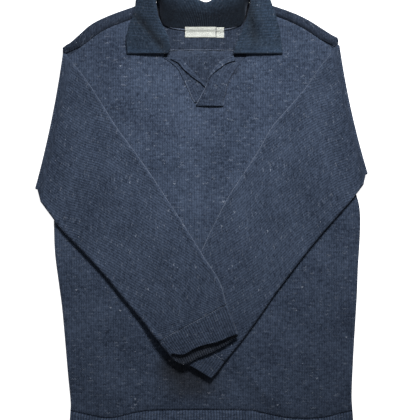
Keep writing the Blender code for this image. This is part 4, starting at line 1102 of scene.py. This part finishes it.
def make_collar():
    """The collar: one ribbed strip sewn to the neck, standing and rolled over all the way round."""
    sizes = bpy.context.scene.sweater_sizes
    stations = smooth_rows(COLLAR, np.linspace(0, 1, 600))
    steps = np.linalg.norm(np.diff((stations[:, 3:6] + stations[:, 6:9]) / 2, axis=0), axis=1) + 0.35
    length = np.concatenate([[0], np.cumsum(steps)]) / steps.sum()
    ribs = round(steps.sum() * MM / sizes.collar_rib)
    columns = ribs * 5 + 1
    places = np.interp(np.linspace(0, 1, columns), length, np.linspace(0, 1, 600))
    rows = smooth_rows(COLLAR, places)
    mid = np.array([collar_section(row[0:3], row[3:6], row[6:9], 40) for row in rows])
    uv = np.zeros(mid.shape[:2] + (2,))
    uv[:, :, 0] = np.linspace(0, ribs * sizes.collar_rib, columns)[:, None]
    # The pattern counts the stand as equally high all round, so that its painted shade ends at the roll
    run = np.array([run_length(line) for line in mid])
    stand = np.linalg.norm(rows[:, 3:6] - rows[:, 0:3], axis=1)[:, None]
    past = np.maximum(run - stand, 0)
    uv[:, :, 1] = (np.minimum(run / stand, 1) * COLLAR_STAND + past) * MM
    mid, uv = mid[:, ::-1], uv[:, ::-1]
    rib = -np.cos(2 * np.pi * uv[:, :, 0] / sizes.collar_rib) * sizes.collar_relief / MM / 2
    leaf = smoothstep((uv[:, :, 1] / MM - COLLAR_STAND + 6) / 10.0)
    mid[:, :, 2] += lift_of(COLLAR_CREASES, mid[:, :, 0], mid[:, :, 1]) * leaf
    # Painted light and shade on the leaves
    shade = 1 + lift_of(COLLAR_PAINTED_SHADE, mid[:, :, 0], mid[:, :, 1]) * leaf
    mid = mid + grid_normals(mid) * rib[:, :, None]
    return cloth("collar_cloth", mid, uv, COLLAR_RIB, finish_of("collar_knit"), shade=shade)


def make_band(name, rows):
    """One band of the placket: from its seam to the fold, then turned out over itself."""
    places = smooth_rows(rows, np.linspace(0, 1, 60))
    run = np.gradient(places[:, 2:4], axis=0)
    lines = []
    for values, (run_x, run_y) in zip(places, run):
        seam, fold, turned = values[0:2], values[2:4], max(values[4], FOLD_BACK)
        seam_lift, lift = values[5:7]
        seam_end = seam + (fold - seam) * BAND_SEAM / np.linalg.norm(fold - seam)
        across = np.array([-run_y, run_x]) / math.hypot(run_x, run_y)
        if across @ (fold - seam) < 0:
            across = -across
        start = np.append(seam_end, FRONT_MID + max(seam_lift, 0.34))
        bend = np.append(fold - across * (BAND_TURN + BAND_KNIT / 2), FRONT_MID - 0.2 + lift)
        sweep = min(math.pi, turned / BAND_TURN)
        parts = np.linspace(0, 1, 14)
        flat = spaced(np.array([start, bend]), parts)
        arch = max(lift - LAP, 0) * BAND_ARCH * np.sin(math.pi * parts ** 0.65)
        flat[:, 2] += arch + 0.5 * np.sin(math.pi * parts)
        arc = [bend + np.append(across * BAND_TURN * math.sin(angle), BAND_TURN * (1 - math.cos(angle)))
               for angle in np.linspace(0, sweep, 9)[1:]]
        rest = max(turned - math.pi * BAND_TURN, 0.6)
        direction = np.append(across * math.cos(sweep), math.sin(sweep))
        tail = [arc[-1] + direction * rest * part + (0, 0, 0.3 * part) for part in np.linspace(0, 1, 6)[1:]]
        lines.append(np.concatenate([flat, arc, tail]))
    mid = np.array(lines)
    uv = np.zeros(mid.shape[:2] + (2,))
    uv[:, :, 1] = run_length(mid[:, 10])[:, None] * MM
    for row in range(mid.shape[0]):
        uv[row, :, 0] = run_length(mid[row]) * MM
    if rows[0].fold_x > 0:
        mid, uv = mid[::-1], uv[::-1]
    return cloth(name, mid, uv, BAND_KNIT, finish_of("band_knit"))


def make_label(name, x0, x1, drop):
    """A woven label that lies on the yoke inside the neck, with its top edge over the collar's seam."""
    rows = smooth_rows(LABEL_RISE, np.linspace(0, 1, 20))
    x, y = np.meshgrid(np.linspace(x0, x1, 40), rows[:, 0], indexing="ij")
    wave = 0.12 * np.sin((x - x0) / 9.0) ** 2
    height = BODY_KNIT + GAP + LABEL_WEAVE / 2 + wave + np.maximum(rows[:, 1], 0)
    mid = np.stack([x, y - drop, height], axis=2)
    return cloth(name, mid, plan_uv(mid), LABEL_WEAVE, finish_of("label_weave"))


def seam_ridge(name, path, radius):
    """A slim cord of stitches along a path, in millimetres: a seam, or a light cord as a painted highlight
    along a fold.
    """
    count = max(12, int(run_length(path)[-1] / 1.2))
    path = spaced(path, np.linspace(0, 1, count))
    ahead = np.gradient(path, axis=0)
    side = np.cross(ahead, (0.0, 0.0, 1.0))
    side = side / np.linalg.norm(side, axis=1, keepdims=True)
    upward = np.cross(side, ahead)
    upward = upward / np.linalg.norm(upward, axis=1, keepdims=True)
    turns = np.linspace(0, 2 * math.pi, 11)[:-1]
    grid = np.array([path + (side * math.cos(turn) + upward * math.sin(turn)) * radius for turn in turns])
    uv = tube_uv(grid)
    piece = cloth(name, grid, uv, 0.1, finish_of("seam_yarn"), closed=True)


def raised(points, height):
    """Points of the plane at a height, which is one for all or one for each."""
    return np.column_stack([points, np.broadcast_to(height, len(points))])


def make_seams_and_highlights():
    """The seams that show as a raised line, and light cords that are painted highlights on folded edges."""
    # Under the collar and across the yoke, inside the neck
    neck = smooth_rows(BACK_NECK[2:-2], np.linspace(0, 1, 60)) - (0, 2.8)
    seam_ridge("neck_seam", raised(neck, BODY_KNIT + 1.2), 1.3)
    back = even_curve(BACK_SEAM, 300)
    back = back[np.abs(back[:, 0]) < 70] + (0, 0.3)
    seam_ridge("back_seam", raised(back, BODY_KNIT), 0.5)
    # The seam of the right band, and a light cord on the left band's edge as a painted highlight where its
    # fold catches the light
    band = smooth_rows(RIGHT_BAND, np.linspace(0.55, 1, 30))[:, :2]
    seam_ridge("band_seam", raised(band, FRONT_MID + BODY_KNIT / 2), 0.5)
    band = smooth_rows(LEFT_BAND, np.linspace(0, 0.98, 60))
    fold = band[:, 2:4]
    along = np.gradient(fold, axis=0)
    inward = np.column_stack([along[:, 1], -along[:, 0]]) / np.linalg.norm(along, axis=1, keepdims=True)
    inward = inward * np.sign(np.sum(inward * (band[:, 0:2] - fold), axis=1))[:, None]
    height = FRONT_MID + band[:, 6] + np.interp(band[:, 4], (1, 4), (0.7, 1.5))
    seam_ridge("band_edge_highlight", raised(fold + inward * 0.3, height), 0.45)
    # Light cords on the overarm edges of the folded sleeves: painted highlights where the folds catch the
    # light
    for side, rows in (("right", RIGHT_SLEEVE), ("left", LEFT_SLEEVE)):
        rings = smooth_rows(rows, np.linspace(0, 1, 120))
        over, under, over_lift, thick = rings[:, 0:2], rings[:, 2:4], rings[:, 4], rings[:, 7]
        chord = under - over
        chord = chord / np.linalg.norm(chord, axis=1, keepdims=True)
        place = over + chord * 1.3
        height = SLEEVE_SEAT + np.maximum(over_lift, 0) + thick * 0.88
        height = height + lift_of(FRONT_FOLDS, place[:, 0], place[:, 1])
        seam_ridge("sleeve_edge_highlight_" + side, raised(place, height), 0.45)
    # Where the cuffs are sewn on
    for side, rows in (("right", RIGHT_CUFF), ("left", LEFT_CUFF)):
        first = rows[0]
        columns = 80
        over, under = np.array(first[0:2]), np.array(first[2:4])
        low = (SLEEVE_SEAT + first.over_lift, SLEEVE_SEAT + first.under_lift)
        ring = flat_ring(over, under, low, first.thick, columns, BODY_KNIT, first.hold)
        seam_ridge("cuff_seam_" + side, ring[:columns] + (0, 0, BODY_KNIT / 2 - 0.1), 0.55)


class SWEATER_OT_seams_and_highlights(bpy.types.Operator):
    """Raise the seams that show as a line, and light cords as painted highlights on folded edges"""
    bl_idname = "sweater.seams"
    bl_label = "Seams"

    def execute(self, context):
        make_seams_and_highlights()
        return {"FINISHED"}


class SWEATER_OT_back_panel(bpy.types.Operator):
    """Lay the back panel"""
    bl_idname = "sweater.back_panel"
    bl_label = "Back panel"

    def execute(self, context):
        dress(make_back())
        return {"FINISHED"}


class SWEATER_OT_front_panel(bpy.types.Operator):
    """Lay the front panel on the back"""
    bl_idname = "sweater.front_panel"
    bl_label = "Front panel"

    def execute(self, context):
        dress(make_front())
        return {"FINISHED"}


class SWEATER_OT_yoke(bpy.types.Operator):
    """Turn the yoke over the shoulders"""
    bl_idname = "sweater.yoke"
    bl_label = "Yoke"

    def execute(self, context):
        dress(make_yoke())
        return {"FINISHED"}


class SWEATER_OT_sleeves(bpy.types.Operator):
    """Fold both sleeves over the front"""
    bl_idname = "sweater.sleeves"
    bl_label = "Sleeves"

    def execute(self, context):
        left = make_sleeve("sleeve_left_cloth", LEFT_ARMHOLE, LEFT_FOLD, LEFT_FOLD_BOW,
                           LEFT_SLEEVE, 1, LEFT_SLEEVE_CREASES)
        dress(left)
        right = make_sleeve("sleeve_right_cloth", RIGHT_ARMHOLE, RIGHT_FOLD, RIGHT_FOLD_BOW,
                            RIGHT_SLEEVE, -1, RIGHT_SLEEVE_CREASES)
        dress(right)
        return {"FINISHED"}


class SWEATER_OT_cuffs(bpy.types.Operator):
    """Add the ribbed cuffs"""
    bl_idname = "sweater.cuffs"
    bl_label = "Cuffs"

    def execute(self, context):
        dress(make_cuff("cuff_left_cloth", LEFT_CUFF, 1))
        dress(make_cuff("cuff_right_cloth", RIGHT_CUFF, -1, RIGHT_LIP))
        return {"FINISHED"}


class SWEATER_OT_hem_band(bpy.types.Operator):
    """Add the ribbed hem band"""
    bl_idname = "sweater.hem_band"
    bl_label = "Hem band"

    def execute(self, context):
        dress(make_hem())
        return {"FINISHED"}


class SWEATER_OT_collar(bpy.types.Operator):
    """Stand and roll the collar"""
    bl_idname = "sweater.collar"
    bl_label = "Collar"

    def execute(self, context):
        dress(make_collar())
        return {"FINISHED"}


class SWEATER_OT_placket(bpy.types.Operator):
    """Add the two bands of the open placket"""
    bl_idname = "sweater.placket"
    bl_label = "Placket"

    def execute(self, context):
        dress(make_band("placket_right_cloth", RIGHT_BAND))
        dress(make_band("placket_left_cloth", LEFT_BAND))
        return {"FINISHED"}


class SWEATER_OT_labels(bpy.types.Operator):
    """Lay the bare woven label and its tab on the yoke"""
    bl_idname = "sweater.labels"
    bl_label = "Labels"

    def execute(self, context):
        dress(make_label("label_cloth", -29, 25, 0))
        dress(make_label("size_tab_cloth", 26, 39.5, 0.7))
        return {"FINISHED"}


class SWEATER_OT_stage(bpy.types.Operator):
    """Set the pale floor, the soft light and the camera straight above"""
    bl_idname = "sweater.stage"
    bl_label = "Stage"

    def execute(self, context):
        scene = context.scene
        look = scene.sweater_stage
        bm = bmesh.new()
        bmesh.ops.create_grid(bm, x_segments=2, y_segments=2, size=6.0)
        mesh = bpy.data.meshes.new("floor")
        bm.to_mesh(mesh)
        bm.free()
        floor = bpy.data.objects.new("floor", mesh)
        floor.location.z = -0.0004
        scene.collection.objects.link(floor)
        sockets = {"Base Color": (*look.floor, 1.0), "Roughness": 0.9, "Specular IOR Level": 0.1,
                   "Emission Color": (1.0, 1.0, 1.0, 1.0), "Emission Strength": look.glow}
        mesh.materials.append(Finish("pale_floor").surface(sockets))

        lamp = bpy.data.lights.new("soft_lamp", "AREA")
        lamp.shape = "RECTANGLE"
        lamp.size, lamp.size_y = LAMP_SIZE
        lamp.spread = math.radians(look.beam)
        lamp.energy = look.lamp
        lamp_object = bpy.data.objects.new("soft_lamp", lamp)
        lamp_object.location = LAMP_PLACE
        aim = lamp_object.location - Vector(LAMP_AIM)
        lamp_object.rotation_euler = aim.to_track_quat("Z", "Y").to_euler()
        scene.collection.objects.link(lamp_object)

        world = bpy.data.worlds.new("soft_surround")
        world.use_nodes = True
        background = world.node_tree.nodes["Background"]
        background.inputs["Color"].default_value = (0.97, 0.98, 1.0, 1.0)
        background.inputs["Strength"].default_value = look.fill
        scene.world = world

        camera = bpy.data.cameras.new("camera")
        camera.sensor_width = 36.0
        camera.lens = CAMERA_LENS
        camera.clip_end = 20.0
        camera_object = bpy.data.objects.new("camera", camera)
        camera_object.location = CAMERA_PLACE
        scene.collection.objects.link(camera_object)
        scene.camera = camera_object
        scene.view_settings.view_transform = "Standard"
        return {"FINISHED"}


class SWEATER_PT_panel(bpy.types.Panel):
    """The pieces of the sweater"""
    bl_idname = "SWEATER_PT_panel"
    bl_label = "Johnny collar sweater"
    bl_space_type = "VIEW_3D"
    bl_region_type = "UI"
    bl_category = "Sweater"

    def draw(self, context):
        scene = context.scene
        for group in (scene.sweater_sizes, scene.sweater_colours, scene.sweater_stage):
            box = self.layout.box()
            for key in group.bl_rna.properties.keys():
                if key not in ("rna_type", "name"):
                    box.prop(group, key)
        for operator in OPERATORS:
            self.layout.operator(operator.bl_idname)


OPERATORS = (SWEATER_OT_back_panel, SWEATER_OT_front_panel, SWEATER_OT_yoke, SWEATER_OT_sleeves,
             SWEATER_OT_cuffs, SWEATER_OT_hem_band, SWEATER_OT_collar, SWEATER_OT_placket,
             SWEATER_OT_labels, SWEATER_OT_seams_and_highlights, SWEATER_OT_stage)
CLASSES = (SweaterSizes, SweaterColours, StageSettings) + OPERATORS + (SWEATER_PT_panel,)


def register():
    for item in CLASSES:
        bpy.utils.register_class(item)
    bpy.types.Scene.sweater_sizes = PointerProperty(type=SweaterSizes)
    bpy.types.Scene.sweater_colours = PointerProperty(type=SweaterColours)
    bpy.types.Scene.sweater_stage = PointerProperty(type=StageSettings)


def unregister():
    del bpy.types.Scene.sweater_stage
    del bpy.types.Scene.sweater_colours
    del bpy.types.Scene.sweater_sizes
    for item in reversed(CLASSES):
        bpy.utils.unregister_class(item)


def main():
    register()
    bpy.ops.sweater.back_panel()
    bpy.ops.sweater.front_panel()
    bpy.ops.sweater.yoke()
    bpy.ops.sweater.sleeves()
    bpy.ops.sweater.cuffs()
    bpy.ops.sweater.hem_band()
    bpy.ops.sweater.collar()
    bpy.ops.sweater.placket()
    bpy.ops.sweater.labels()
    bpy.ops.sweater.seams()
    bpy.ops.sweater.stage()


if __name__ == "__main__":
    main()
